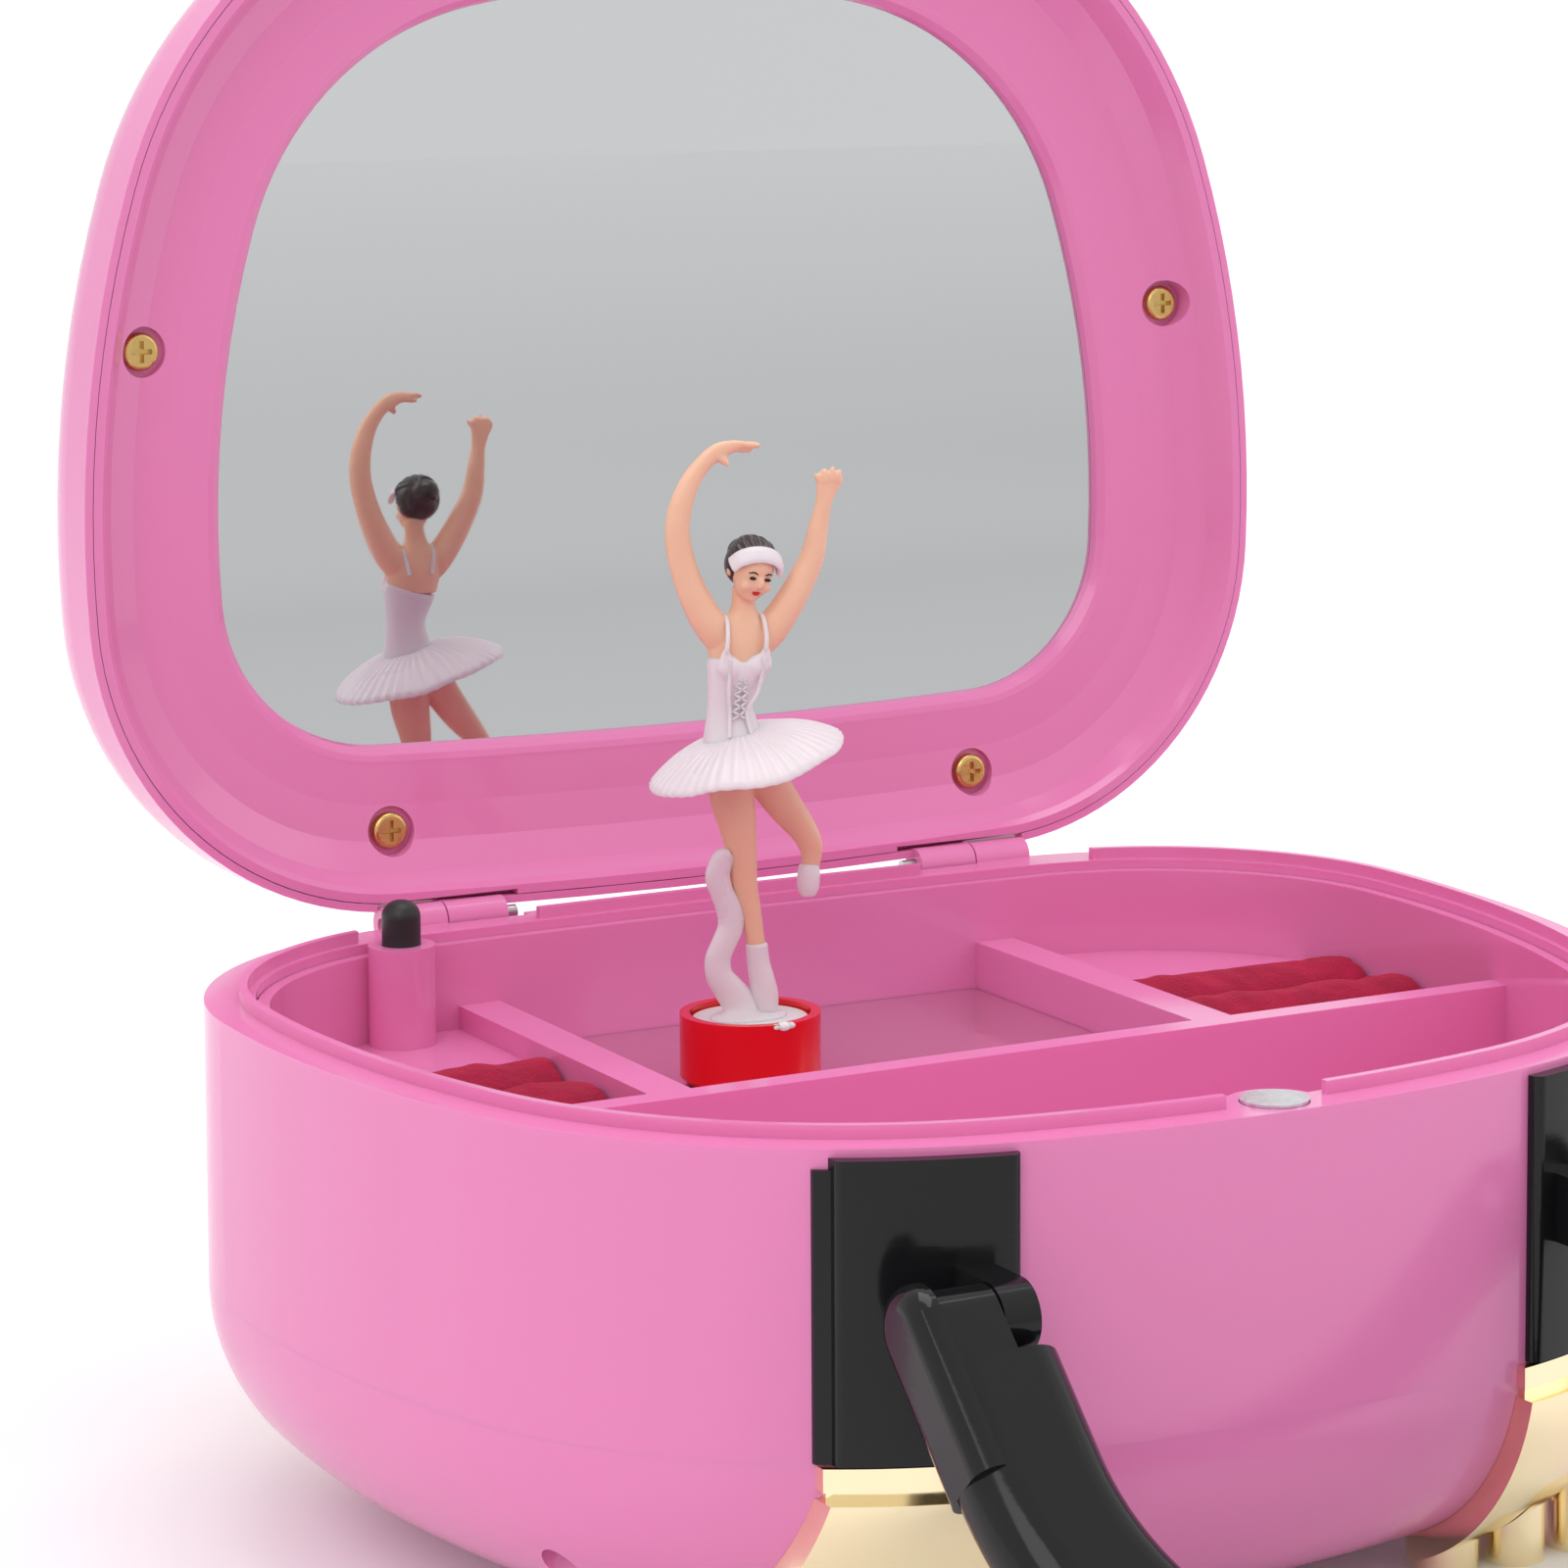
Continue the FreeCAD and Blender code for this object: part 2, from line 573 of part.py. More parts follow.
def lid_frame():
    """Ring with a dished face round the mirror, screwed into the lid shell."""
    edge = size("lid_edge_wall") + size("frame_clearance")
    low = RIM + size("lid_gap")
    back = RIM + size("mirror_depth")
    window = size("window_inset")
    body = lofted([(edge, low), (edge, RIM + 4.2)], True).fuse(lofted([(edge, RIM + 4.2), (5.6, back)], True))
    dish = [(2.0, low - 0.3), (2.9, RIM + 1.0), (4.4, RIM + 3.4), (8.0, RIM + 5.5), (12.5, RIM + 6.1),
            (window - 2.4, RIM + 6.3)]
    body = body.cut(lofted(dish, True))
    roll = [(window - 2.4, RIM + 6.2), (window - 1.2, RIM + 6.5), (window - 0.3, RIM + 7.3),
            (window, back + 0.1)]
    body = body.cut(lofted(roll, True))
    for x, y in LID_SCREWS:
        for side in (-1, 1):
            seat = Vector(side * x, y, RIM + 3)
            body = body.cut(rod(3.1, seat, seat + Vector(0, 0, 3.9)))
            body = body.cut(rod(1.5, seat, seat + Vector(0, 0, 6)))
    catch = rod(4.2, Vector(0, CATCH_Y, low), Vector(0, CATCH_Y, back - 0.5))
    body = body.fuse(catch.common(prism(edge, 0, back))).cut(rod(3.6, Vector(0, CATCH_Y, low - 1),
                                                                 Vector(0, CATCH_Y, low + 1.3)))
    relief = size("knuckle_radius") + 0.45
    for side in (-1, 1):
        body = body.cut(hinge_rod(relief, side, size("knuckle_inner") - 2.4, size("knuckle_outer") + 0.4))
    return body.removeSplitter()


def lid_parts():
    keep(lid_shell(), "lid_shell", LID_OPEN)
    keep(lid_frame(), "lid_frame", LID_OPEN)
    back = RIM + size("mirror_depth")
    keep(prism(size("mirror_inset"), back + 0.05, back + size("mirror_thickness")), "mirror", LID_OPEN)
    keeper = ring(size("mirror_inset") - 3.0, size("mirror_inset") + 2.5, 0, 1.0)
    keeper.translate(Vector(0, 0, back + size("mirror_thickness") + 0.05))
    for x, y in LID_SCREWS:
        for side in (-1, 1):
            keeper = keeper.cut(rod(3.4, Vector(side * x, y, 0), Vector(side * x, y, 200)))
    keep(keeper, "mirror_retainer", LID_OPEN)
    catch = new_body("lid_catch_plate")
    padded_disc(catch, "3.5", "1.0")
    plate = Placement(Vector(0, CATCH_Y, RIM + size("lid_gap") + 0.25), Rotation())
    catch.Placement = LID_OPEN.multiply(plate)
    screw = pan_screw(2.3, 1.3, 1.2, 7.5)
    upside_down = Rotation(X_AXIS, 180)
    places = []
    for x, y in LID_SCREWS:
        for side in (-1, 1):
            head = Placement(Vector(side * x, y, RIM + 6.9), upside_down)
            places.append(LID_OPEN.multiply(head))
    screw_group("lid_screws", screw, places)


# ---------------------------------------------------------------- straps, feet and handle
def strap_panel():
    """Right-hand strap: a slab that follows the front wall, with an ear for the handle."""
    inner, outer = size("strap_inner"), size("strap_outer")
    thick = size("strap_thickness")
    low = SEAM + 0.3
    top = RIM - size("strap_top")
    case = prism(-size("wrap_gap"), 0, RIM + 1)
    slab = prism(-thick, low, top).cut(case).common(block(inner, outer, -100, 0, 0, RIM))
    wall = prism(-0.5, 0, RIM)
    upright = [edge for edge in slab.Edges if edge.BoundBox.ZLength > 20
               and min(abs(edge.CenterOfMass.x - inner), abs(edge.CenterOfMass.x - outer)) < 0.1
               and not wall.isInside(edge.CenterOfMass, 0.01, True)]
    slab = slab.makeFillet(thick * 0.7, upright)
    flange = prism(-0.5, low, top - 1.2).cut(case)
    flange = flange.common(block(inner, outer + size("strap_flange"), -100, 0, 0, RIM))
    radius = size("ear_radius")
    start, end = size("ear_inner"), size("ear_outer")
    ear = rod(radius, Vector(start, PIVOT.y, PIVOT.z), Vector(end, PIVOT.y, PIVOT.z))
    web = block(start, end, PIVOT.y, front_surface_y(start) + 2, PIVOT.z - radius, PIVOT.z + radius)
    panel = united([slab, flange, ear, web.cut(case)])
    bore = rod(size("handle_pin_radius") + size("running_gap"), Vector(start - 1, PIVOT.y, PIVOT.z),
               Vector(end + 1, PIVOT.y, PIVOT.z))
    return panel.cut(bore).removeSplitter()


def gilt_foot(rear=False):
    """Right-hand gilt foot: a band under the strap, then a flared scalloped wrap with flat pads."""
    thick = size("foot_thickness")
    foot_inner, foot_outer = size("foot_inner"), size("foot_outer")
    inner = size("strap_inner") - size("foot_brim")
    outer = size("strap_outer") + size("foot_brim")
    waist = SEAM - size("foot_waist")
    under = -9.0
    far = 100.0
    sign = 1 if rear else -1
    body = belly(0.02)

    def slice_of(x_low, x_high, y_near, z_low, z_high):
        return block(x_low, x_high, *sorted((y_near, sign * far)), z_low, z_high)

    outline = [(inner, waist), (outer, waist), (foot_outer, 2), (foot_outer, under), (foot_inner, under),
               (foot_inner, 2), (inner, waist)]
    flare = Part.Face(Part.makePolygon([Vector(x, 0, z) for x, z in outline]))
    flare = flare.extrude(Vector(0, sign * far, 0))
    lobe = (foot_outer - foot_inner) / 6
    toe_y = sign * (BACK_Y - size("foot_toe_inset"))
    lobes = [slice_of(foot_inner, foot_outer, toe_y, under, SEAM)]
    pads = []
    for number in (1, 3, 5):
        spot = Vector(foot_inner + number * lobe, toe_y, 0)
        lobes.append(Part.makeCylinder(lobe, 60, spot + Vector(0, 0, under)))
        pads.append(Part.makeCylinder(lobe * 0.8, 9, spot))
    wrap = belly(thick).cut(body).common(flare).common(united(lobes))
    skin = belly(thick + 1).cut(belly(thick - 0.7))
    half_groove = size("foot_groove") / 2
    for number in (2, 4):
        x = foot_inner + number * lobe
        wrap = wrap.cut(slice_of(x - half_groove, x + half_groove, 0, under, SEAM - 19).common(skin))
    case = belly(0.02).fuse(prism(-size("wrap_gap"), SEAM - 1, RIM))
    band = prism(0.2 - size("strap_thickness"), SEAM - 2.4, SEAM + 0.1)
    band = band.common(slice_of(inner, outer, 0, 0, RIM)).cut(case)
    neck = prism(-0.8, SEAM - 4.5, SEAM - 2.3)
    neck = neck.common(slice_of(inner + 0.5, outer - 0.5, 0, 0, RIM)).cut(case)
    foot = united([wrap, band, neck] + [pad.cut(body) for pad in pads])
    return foot.common(block(0, far, -far, far, 0, RIM))


HANDLE_WIDTH = size("handle_outer") - size("handle_inner")
HANDLE_ARM = size("handle_leg") + size("handle_bend") + HANDLE_WIDTH / 2


def handle_rest_angle():
    """Angle below the horizontal at which the hanging handle touches the table."""
    half = size("handle_thickness") / 2
    low, high = 0.0, 90.0
    for _ in range(60):
        middle = (low + high) / 2
        turned = math.radians(middle)
        depth = HANDLE_ARM * math.sin(turned) + half * math.cos(turned)
        if depth < PIVOT.z:
            low = middle
        else:
            high = middle
    return low


def rounded_section(x_low, x_high, half_height, corner):
    """Closed section in the XZ plane with rounded corners."""
    solid = Part.makeBox(x_high - x_low, 1, 2 * half_height, Vector(x_low, 0, -half_height))
    lengthwise = [edge for edge in solid.Edges if edge.BoundBox.YLength > 0.5]
    solid = solid.makeFillet(corner, lengthwise)
    face = min(solid.Faces, key=lambda face: face.CenterOfMass.y)
    return face.OuterWire


def handle():
    """U-shaped grip drawn flat, its pivots on the X axis and its grip towards -Y."""
    width = HANDLE_WIDTH
    half_thick = size("handle_thickness") / 2
    middle_x = size("handle_inner") + width / 2
    leg = size("handle_leg")
    bend = size("handle_bend")
    notch = size("handle_notch")
    reach = middle_x - bend
    diagonal = bend * math.sqrt(0.5)
    corner_start = Vector(-middle_x, -leg, 0)
    corner_middle = Vector(-reach - diagonal, -leg - diagonal, 0)
    corner_end = Vector(-reach, -leg - bend, 0)

    def flip(point):
        return Vector(-point.x, point.y, point.z)

    start = Vector(-middle_x, -notch, 0)
    path = Part.Wire([
        Part.makeLine(start, corner_start),
        Part.Arc(corner_start, corner_middle, corner_end).toShape(),
        Part.makeLine(corner_end, flip(corner_end)),
        Part.Arc(flip(corner_end), flip(corner_middle), flip(corner_start)).toShape(),
        Part.makeLine(flip(corner_start), flip(start)),
    ])
    section = rounded_section(-middle_x - width / 2, -middle_x + width / 2, half_thick,
                              size("handle_corner"))
    section.translate(Vector(0, -notch, 0))
    grip = Part.Solid(path.makePipeShell([section], True, False))
    tongue_near = size("ear_outer") + 0.25
    cheek_near = size("handle_outer") - size("handle_cheek")
    for side in (-1, 1):
        def across(near, far, radius, side=side):
            return rod(radius, Vector(side * near, 0, 0), Vector(side * far, 0, 0))

        def bar(near, far, half, side=side):
            low, high = sorted((side * near, side * far))
            return block(low, high, -notch - 1.5, 0, -half, half)
        tongue_half = half_thick - 1.0
        grip = grip.fuse(across(tongue_near, cheek_near + 1, tongue_half))
        grip = grip.fuse(bar(tongue_near, cheek_near + 1, tongue_half))
        low, high = sorted((side * cheek_near, side * size("handle_outer")))
        cheek = across(cheek_near, size("handle_outer"), half_thick)
        cheek = cheek.fuse(block(low, high, -leg, 0, -half_thick, half_thick)).removeSplitter()
        outer_face = side * size("handle_outer")
        rim = [edge for edge in cheek.Edges
               if abs(edge.BoundBox.XMin - outer_face) < 0.01 and abs(edge.BoundBox.XMax - outer_face) < 0.01
               and edge.BoundBox.YMax > -notch]
        cheek = cheek.makeFillet(2.4, rim)
        grip = grip.fuse(cheek)
        bore_radius = size("handle_pin_radius") + size("running_gap")
        grip = grip.cut(across(tongue_near - 1, cheek_near - 1.0, bore_radius))
    angle = handle_rest_angle()
    keep(grip.removeSplitter(), "handle", Placement(PIVOT, Rotation(X_AXIS, angle)))


def handle_pins():
    pins = []
    for side in (-1, 1):
        start = Vector(side * (size("ear_inner") - 0.9), PIVOT.y, PIVOT.z)
        end = Vector(side * (size("handle_outer") - size("handle_cheek") - 1.2), PIVOT.y, PIVOT.z)
        pins.append(rod(size("handle_pin_radius"), start, end))
    keep(Part.makeCompound(pins), "handle_pins")


def straps_and_feet():
    panel = strap_panel()
    keep(mirrored(panel), "left_strap_panel")
    keep(panel, "right_strap_panel")
    front = gilt_foot()
    keep(mirrored(front), "front_left_foot")
    keep(front, "front_right_foot")
    rear = gilt_foot(rear=True)
    keep(mirrored(rear), "rear_left_foot")
    keep(rear, "rear_right_foot")


# ---------------------------------------------------------------- music movement
BEDPLATE_TOP = size("bedplate_level") + size("bedplate_thickness")
BARREL_LOW = BEDPLATE_TOP + 1.0
GEAR_LOW = BARREL_LOW + size("barrel_height") + 0.3
CYLINDER_X = BARREL.x + 20.5
CYLINDER_LEVEL = BEDPLATE_TOP + 9.5
GOVERNOR = Vector(CYLINDER_X + 2, BARREL.y - 19, 0)
MOVEMENT_POSTS = [(BARREL.x - 20, BARREL.y + 14), (BARREL.x - 20, BARREL.y - 14),
                  (BARREL.x + 33, BARREL.y + 14), (BARREL.x + 33, BARREL.y - 14)]


def bedplate():
    plate = doc.addObject("Part::Box", "BedplateBlank")
    plate.Length = 60
    plate.Width = 46
    plate.setExpression("Height", "sheet.bedplate_thickness")
    corner = Vector(BARREL.x - 24, BARREL.y - 24, size("bedplate_level"))
    plate.Placement = Placement(corner, Rotation())
    holes = []
    spots = [(BARREL.x, BARREL.y, "sheet.arbor_radius + sheet.running_gap"),
             (DANCER.x, DANCER.y, "sheet.turntable_shaft_radius + sheet.running_gap"),
             (GOVERNOR.x, GOVERNOR.y, "0.8 + sheet.running_gap")]
    spots += [(x, y, "1.1") for x, y in MOVEMENT_POSTS]
    for number, (x, y, radius) in enumerate(spots):
        hole = doc.addObject("Part::Cylinder", "BedplateHole%d" % number)
        hole.setExpression("Radius", radius)
        hole.Height = 10
        hole.Placement = Placement(Vector(x, y, size("bedplate_level") - 4), Rotation())
        holes.append(hole)
    drill = doc.addObject("Part::MultiFuse", "BedplateHoles")
    drill.Shapes = holes
    drilled = doc.addObject("Part::Cut", "movement_bedplate")
    drilled.Base = plate
    drilled.Tool = drill
    drilled.Label = "movement_bedplate"
    SUBPARTS.append(drilled)


def movement_screws():
    screw = pan_screw(1.9, 1.2, 0.75, 6.5)
    places = [Placement(Vector(x, y, BEDPLATE_TOP), Rotation()) for x, y in MOVEMENT_POSTS]
    screw_group("movement_screws", screw, places)


def gear(body, teeth, height, level):
    """Spur gear: a root disc and one straight-sided tooth, repeated round the body's axis."""
    module = size("gear_module")
    pitch_radius = module * teeth / 2
    root = pitch_radius - 1.15 * module
    tip = pitch_radius + 0.8 * module
    disc_sketch = new_sketch(body, "GearDiscSketch", "XY_Plane", level)
    add_circle(disc_sketch, "%s" % root)
    disc = add_pad(body, disc_sketch, height, "GearDisc")
    tooth_sketch = new_sketch(body, "ToothSketch", "XY_Plane", level)
    add_polygon(tooth_sketch, [(root - 0.5, -0.62 * module), (tip, -0.3 * module),
                               (tip, 0.3 * module), (root - 0.5, 0.62 * module)])
    tooth = add_pad(body, tooth_sketch, height, "Tooth")
    doc.recompute()
    pattern = body.newObject("PartDesign::PolarPattern", "Teeth")
    pattern.Originals = [tooth]
    pattern.Axis = (disc_sketch, ["N_Axis"])
    pattern.Angle = 360
    pattern.Occurrences = teeth
    body.Tip = pattern
    doc.recompute()
    return disc


def spring_barrel():
    body = new_body("spring_barrel")
    padded_disc(body, "10.6", "sheet.barrel_height", name="Drum")
    gear(body, int(size("barrel_teeth")), "sheet.gear_height", "sheet.barrel_height")
    bore_sketch = new_sketch(body, "BarrelBoreSketch")
    add_circle(bore_sketch, "sheet.arbor_radius + sheet.running_gap")
    add_pocket(body, bore_sketch, "40", "BarrelBore", True)
    body.Placement = Placement(Vector(BARREL.x, BARREL.y, BARREL_LOW), Rotation())


def turntable():
    """Shaft with its pinion and the disc that carries the drive magnets."""
    body = new_body("turntable_shaft")
    low = size("bedplate_level") + 0.3
    top = STAGE - size("stage_sheet") - size("stage_plate") - 1.0
    sketch = new_sketch(body, "ShaftSketch")
    add_circle(sketch, "sheet.turntable_shaft_radius")
    add_pad(body, sketch, "%g" % (top - low), "Shaft")
    gear_level = BARREL_LOW + size("barrel_height") - low
    gear(body, int(size("turntable_teeth")), "sheet.gear_height", "%g" % gear_level)
    disc_sketch = new_sketch(body, "CarrierSketch", "XY_Plane", "%g" % (top - low - 4.4))
    add_circle(disc_sketch, "sheet.drive_magnet_radius + 0.8")
    add_pad(body, disc_sketch, "1.2", "Carrier")
    collar_sketch = new_sketch(body, "CollarSketch", "XY_Plane", "%g" % (BEDPLATE_TOP - low + 0.2))
    add_circle(collar_sketch, "2.4")
    add_pad(body, collar_sketch, "1.0", "Collar")
    half_tooth = 180.0 / size("turntable_teeth")
    body.Placement = Placement(Vector(DANCER.x, DANCER.y, low), Rotation(Z_AXIS, half_tooth))
    magnet = ring_disc(size("drive_magnet_radius"), size("turntable_shaft_radius") + 0.02, 3.0)
    keep(magnet, "drive_magnet", Placement(Vector(DANCER.x, DANCER.y, top - 3.15), Rotation()))


def ring_disc(outer, inner, height):
    return Part.makeCylinder(outer, height).cut(Part.makeCylinder(inner, height + 2, Vector(0, 0, -1)))


def winding_key():
    """Two-winged key on the arbor that passes up through the bottom, the bedplate and the barrel."""
    well_low = size("belly_height")
    arbor_top = GEAR_LOW + size("gear_height") + 1.2
    arbor = Part.makeCylinder(size("arbor_radius"), arbor_top - well_low - 4, Vector(0, 0, well_low + 4))
    keep(arbor, "winding_arbor", Placement(Vector(BARREL.x, BARREL.y, 0), Rotation()))
    hub = Part.makeCylinder(3.4, 5.2, Vector(0, 0, well_low + 1.6))
    wing = Part.makeBox(2 * size("key_radius"), 1.8, 6.4, Vector(-size("key_radius"), -0.9, well_low + 0.4))
    upright = [edge for edge in wing.Edges if edge.BoundBox.YLength > 1.0 and edge.BoundBox.XLength < 0.1]
    wing = wing.makeFillet(2.4, upright)
    socket = Part.makeCylinder(size("arbor_radius") + 0.01, 6, Vector(0, 0, well_low + 4))
    key = united([hub, wing]).cut(socket)
    keep(key, "winding_key", Placement(Vector(BARREL.x, BARREL.y, 0), Rotation(Z_AXIS, 35)))


def cylinder_and_comb():
    radius = size("cylinder_radius")
    length = size("cylinder_length")
    drum = Part.makeCylinder(radius, length)
    drum = drum.fuse(Part.makeCylinder(radius + 1.3, 1.6, Vector(0, 0, -2.2)))
    drum = drum.fuse(Part.makeCylinder(1.0, length + 8.0, Vector(0, 0, -4.5)))
    for number in range(54):
        angle = math.radians(number * 137.5)
        z = 1.2 + (number * 7 % 18) * (length - 2.4) / 17
        pin = Part.makeCylinder(0.22, 0.7, Vector(math.cos(angle) * (radius - 0.2),
                                                  math.sin(angle) * (radius - 0.2), z),
                                Vector(math.cos(angle), math.sin(angle), 0))
        drum = drum.fuse(pin)
    along = Rotation(X_AXIS, -90)
    start = Vector(CYLINDER_X, BARREL.y - length / 2 + 3, CYLINDER_LEVEL)
    keep(drum, "music_cylinder", Placement(start, along))
    bearings = []
    for y in (start.y - 4.0, start.y + length + 1.4):
        post = block(CYLINDER_X - 2.6, CYLINDER_X + 2.6, y, y + 1.6, BEDPLATE_TOP, CYLINDER_LEVEL + 2.6)
        post = post.cut(rod(1.0 + size("running_gap"), Vector(CYLINDER_X, y - 1, CYLINDER_LEVEL),
                            Vector(CYLINDER_X, y + 3, CYLINDER_LEVEL)))
        bearings.append(post)
    keep(Part.makeCompound(bearings), "cylinder_bearings")
    comb_x = CYLINDER_X + radius + 1.0
    teeth = 18
    pitch = (length - 2.4) / (teeth - 1)
    comb = block(comb_x + 6, comb_x + 11.5, start.y, start.y + length,
                 CYLINDER_LEVEL - 0.4, CYLINDER_LEVEL + 0.4)
    tines = []
    for number in range(teeth):
        y = start.y + 1.2 + number * pitch
        tines.append(block(comb_x, comb_x + 6.2, y - 0.33, y + 0.33,
                           CYLINDER_LEVEL - 0.3, CYLINDER_LEVEL + 0.3))
    comb = united([comb] + tines)
    keep(comb, "music_comb")
    foot = block(comb_x + 6.4, comb_x + 11.2, start.y + 0.5, start.y + length - 0.5, BEDPLATE_TOP,
                 CYLINDER_LEVEL - 0.42)
    keep(foot, "comb_block")


def governor():
    """Air-brake fan on a worm shaft, under a bracket on the bedplate."""
    low = size("bedplate_level") + 0.3
    shaft = Part.makeCylinder(0.8, 15, Vector(0, 0, low))
    wing = united([
        Part.makeBox(2 * size("fan_radius"), 0.5, 4, Vector(-size("fan_radius"), -0.25, BEDPLATE_TOP + 7)),
        Part.makeCylinder(1.5, 4, Vector(0, 0, BEDPLATE_TOP + 7)),
        Part.makeCylinder(1.4, 4.5, Vector(0, 0, BEDPLATE_TOP + 1)),
    ])
    keep(united([shaft, wing]), "governor_fan", Placement(GOVERNOR, Rotation()))
    reach = size("fan_radius") + 1.2
    bracket = united([
        block(-reach - 1, reach + 1, -2.2, 2.2, BEDPLATE_TOP + 11.6, BEDPLATE_TOP + 12.8),
        block(-reach - 1, -reach, -2.2, 2.2, BEDPLATE_TOP, BEDPLATE_TOP + 12),
        block(reach, reach + 1, -2.2, 2.2, BEDPLATE_TOP, BEDPLATE_TOP + 12),
    ])
    bracket = bracket.cut(Part.makeCylinder(0.8 + size("running_gap"), 6, Vector(0, 0, BEDPLATE_TOP + 10)))
    keep(bracket, "governor_bracket", Placement(GOVERNOR, Rotation()))


# ---------------------------------------------------------------- dancer
FACING = -6.0
FIGURE = {
    # joints of the doll in her own frame: to her left, towards her back, above the stage
    "left_arm": [(-5.0, 0.3, 55.2), (-8.8, 0.5, 67.2), (-6.9, 0.2, 73.5), (0.6, -0.2, 76.2)],
    "right_arm": [(3.7, 0.3, 54.8), (8.6, 0.6, 64.8), (10.0, 0.2, 71.6)],
    "torso": [(-0.6, 0, 55.0), (-2.2, 0, 46.8), (-1.9, 0, 40.0)],
    "neck": [(-0.2, 0, 56.0), (0.5, 0, 59.5)],
    "standing_leg": [(-2.1, 0, 40.0), (-1.0, 0.3, 27.9), (0.6, 0, 17.6), (1.5, 0, 9.05)],
    "raised_leg": [(0.6, 0, 40.0), (9.3, 1.2, 27.6), (8.3, 1.2, 22.8)],
}


def limb(points, radius_start, radius_end):
    """Tapered chain of cones with slightly fuller ball joints."""
    count = len(points) - 1
    pieces = []
    for number in range(count):
        start, end = Vector(*points[number]), Vector(*points[number + 1])
        near = radius_start + (radius_end - radius_start) * number / count
        far = radius_start + (radius_end - radius_start) * (number + 1) / count
        pieces.append(Part.makeSphere(near * 1.06, start))
        pieces.append(Part.makeCone(near, far - 0.001, (end - start).Length, start, end - start))
    pieces.append(Part.makeSphere(far * 1.06, Vector(*points[-1])))
    return pieces


def dancer():
    place = Placement(DANCER, Rotation(Z_AXIS, FACING))
    pieces = limb(FIGURE["left_arm"], 1.35, 0.8) + limb(FIGURE["right_arm"], 1.35, 0.9)
    pieces += limb(FIGURE["torso"], 3.2, 2.7) + limb(FIGURE["neck"], 1.3, 1.2)
    pieces += limb(FIGURE["standing_leg"], 2.3, 1.1) + limb(FIGURE["raised_leg"], 2.2, 1.0)
    pieces.append(Part.makeSphere(3.5, Vector(1.0, 0.2, 62.3)))
    doll = united(pieces)
    keep(doll, "dancer_figure", place)
    low = size("skirt_low")
    height = size("skirt_high") - low
    wall = size("skirt_wall")
    skirt = Part.makeCone(size("skirt_radius"), size("skirt_waist"), height, Vector(-1.0, 0, low))
    hollow = Part.makeCone(size("skirt_radius") - wall, size("skirt_waist") - wall, height + 0.2,
                           Vector(-1.0, 0, low - 0.1))
    skirt = skirt.cut(hollow).cut(doll)
    keep(skirt, "dancer_tutu", place)
    ribbon_points = [(-2.9, 0, 26.6), (-4.3, 0, 23.0), (-2.4, 0, 19.4), (-4.4, 0, 15.6), (-2.8, 0, 10.0)]
    ribbon = united(limb(ribbon_points, 0.75, 0.75))
    keep(ribbon.cut(doll), "dancer_ribbon", place)


def cup_and_disc():
    cup = new_body("magnet_cup")
    outer = size("cup_radius")
    wall = size("cup_wall")
    height = size("cup_height")
    web_low = size("cup_magnet_height") + 0.5
    magnet_room = size("cup_magnet_radius") + 0.15
    revolved(cup, [(magnet_room, 0.2), (outer - 0.9, 0.2), (outer, 1.0), (outer, height),
                   (outer - wall, height), (outer - wall, web_low + 2.4), (0, web_low + 2.4),
                   (0, web_low), (magnet_room, web_low)])
    cup.Placement = Placement(DANCER, Rotation())
    magnet = new_body("cup_magnet")
    padded_disc(magnet, "sheet.cup_magnet_radius", "sheet.cup_magnet_height")
    magnet.Placement = Placement(DANCER + Vector(0, 0, 0.02), Rotation())
    disc = new_body("dancer_disc")
    padded_disc(disc, "sheet.disc_radius", "%g" % (height - 0.7 - web_low - 2.4))
    disc.Placement = Placement(DANCER + Vector(0, 0, web_low + 2.4), Rotation())


# ---------------------------------------------------------------- assembly
keep(base_shell(), "base_shell")
catch_magnet()
hinge_pins()
keep(bottom_shell(), "bottom_shell")
base_screws()
keep(tray(), "inner_tray")
stage_panel()
ring_cushions()
plunger_low = plunger()
cup_top = RIM - size("shelf_depth") - size("tray_floor") - 0.05
spring_cup(cup_top)
plunger_spring(plunger_low, cup_top - 7.4)
lid_parts()
straps_and_feet()
handle()
handle_pins()
bedplate()
movement_screws()
spring_barrel()
turntable()
winding_key()
cylinder_and_comb()
governor()
dancer()
cup_and_disc()
doc.recompute()

for item in doc.Objects:
    for state in item.State:
        if state in ("Invalid", "Error"):
            raise RuntimeError("%s did not build" % item.Label)
for item in SUBPARTS:
    if item.Shape.isNull() or not item.Shape.isValid():
        raise RuntimeError("%s has no valid shape" % item.Label)
for item in SUBPARTS:
    item.Shape.exportStep("parts/%s.step" % item.Label)
    box = item.Shape.BoundBox
    print("%-22s solids %d volume %9.1f  x %7.2f %7.2f  y %7.2f %7.2f  z %7.2f %7.2f" % (
        item.Label, len(item.Shape.Solids), item.Shape.Volume,
        box.XMin, box.XMax, box.YMin, box.YMax, box.ZMin, box.ZMax))
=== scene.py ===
"""Looks of the ballerina jewellery box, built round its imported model.

Everything is in metres in the model's own frame. The doll is made in her own frame, in millimetres:
u to her left, v towards her back, w up from the stage.
"""

import json
import math

import bmesh
import bpy
import numpy as np
from mathutils import Matrix, Vector, noise


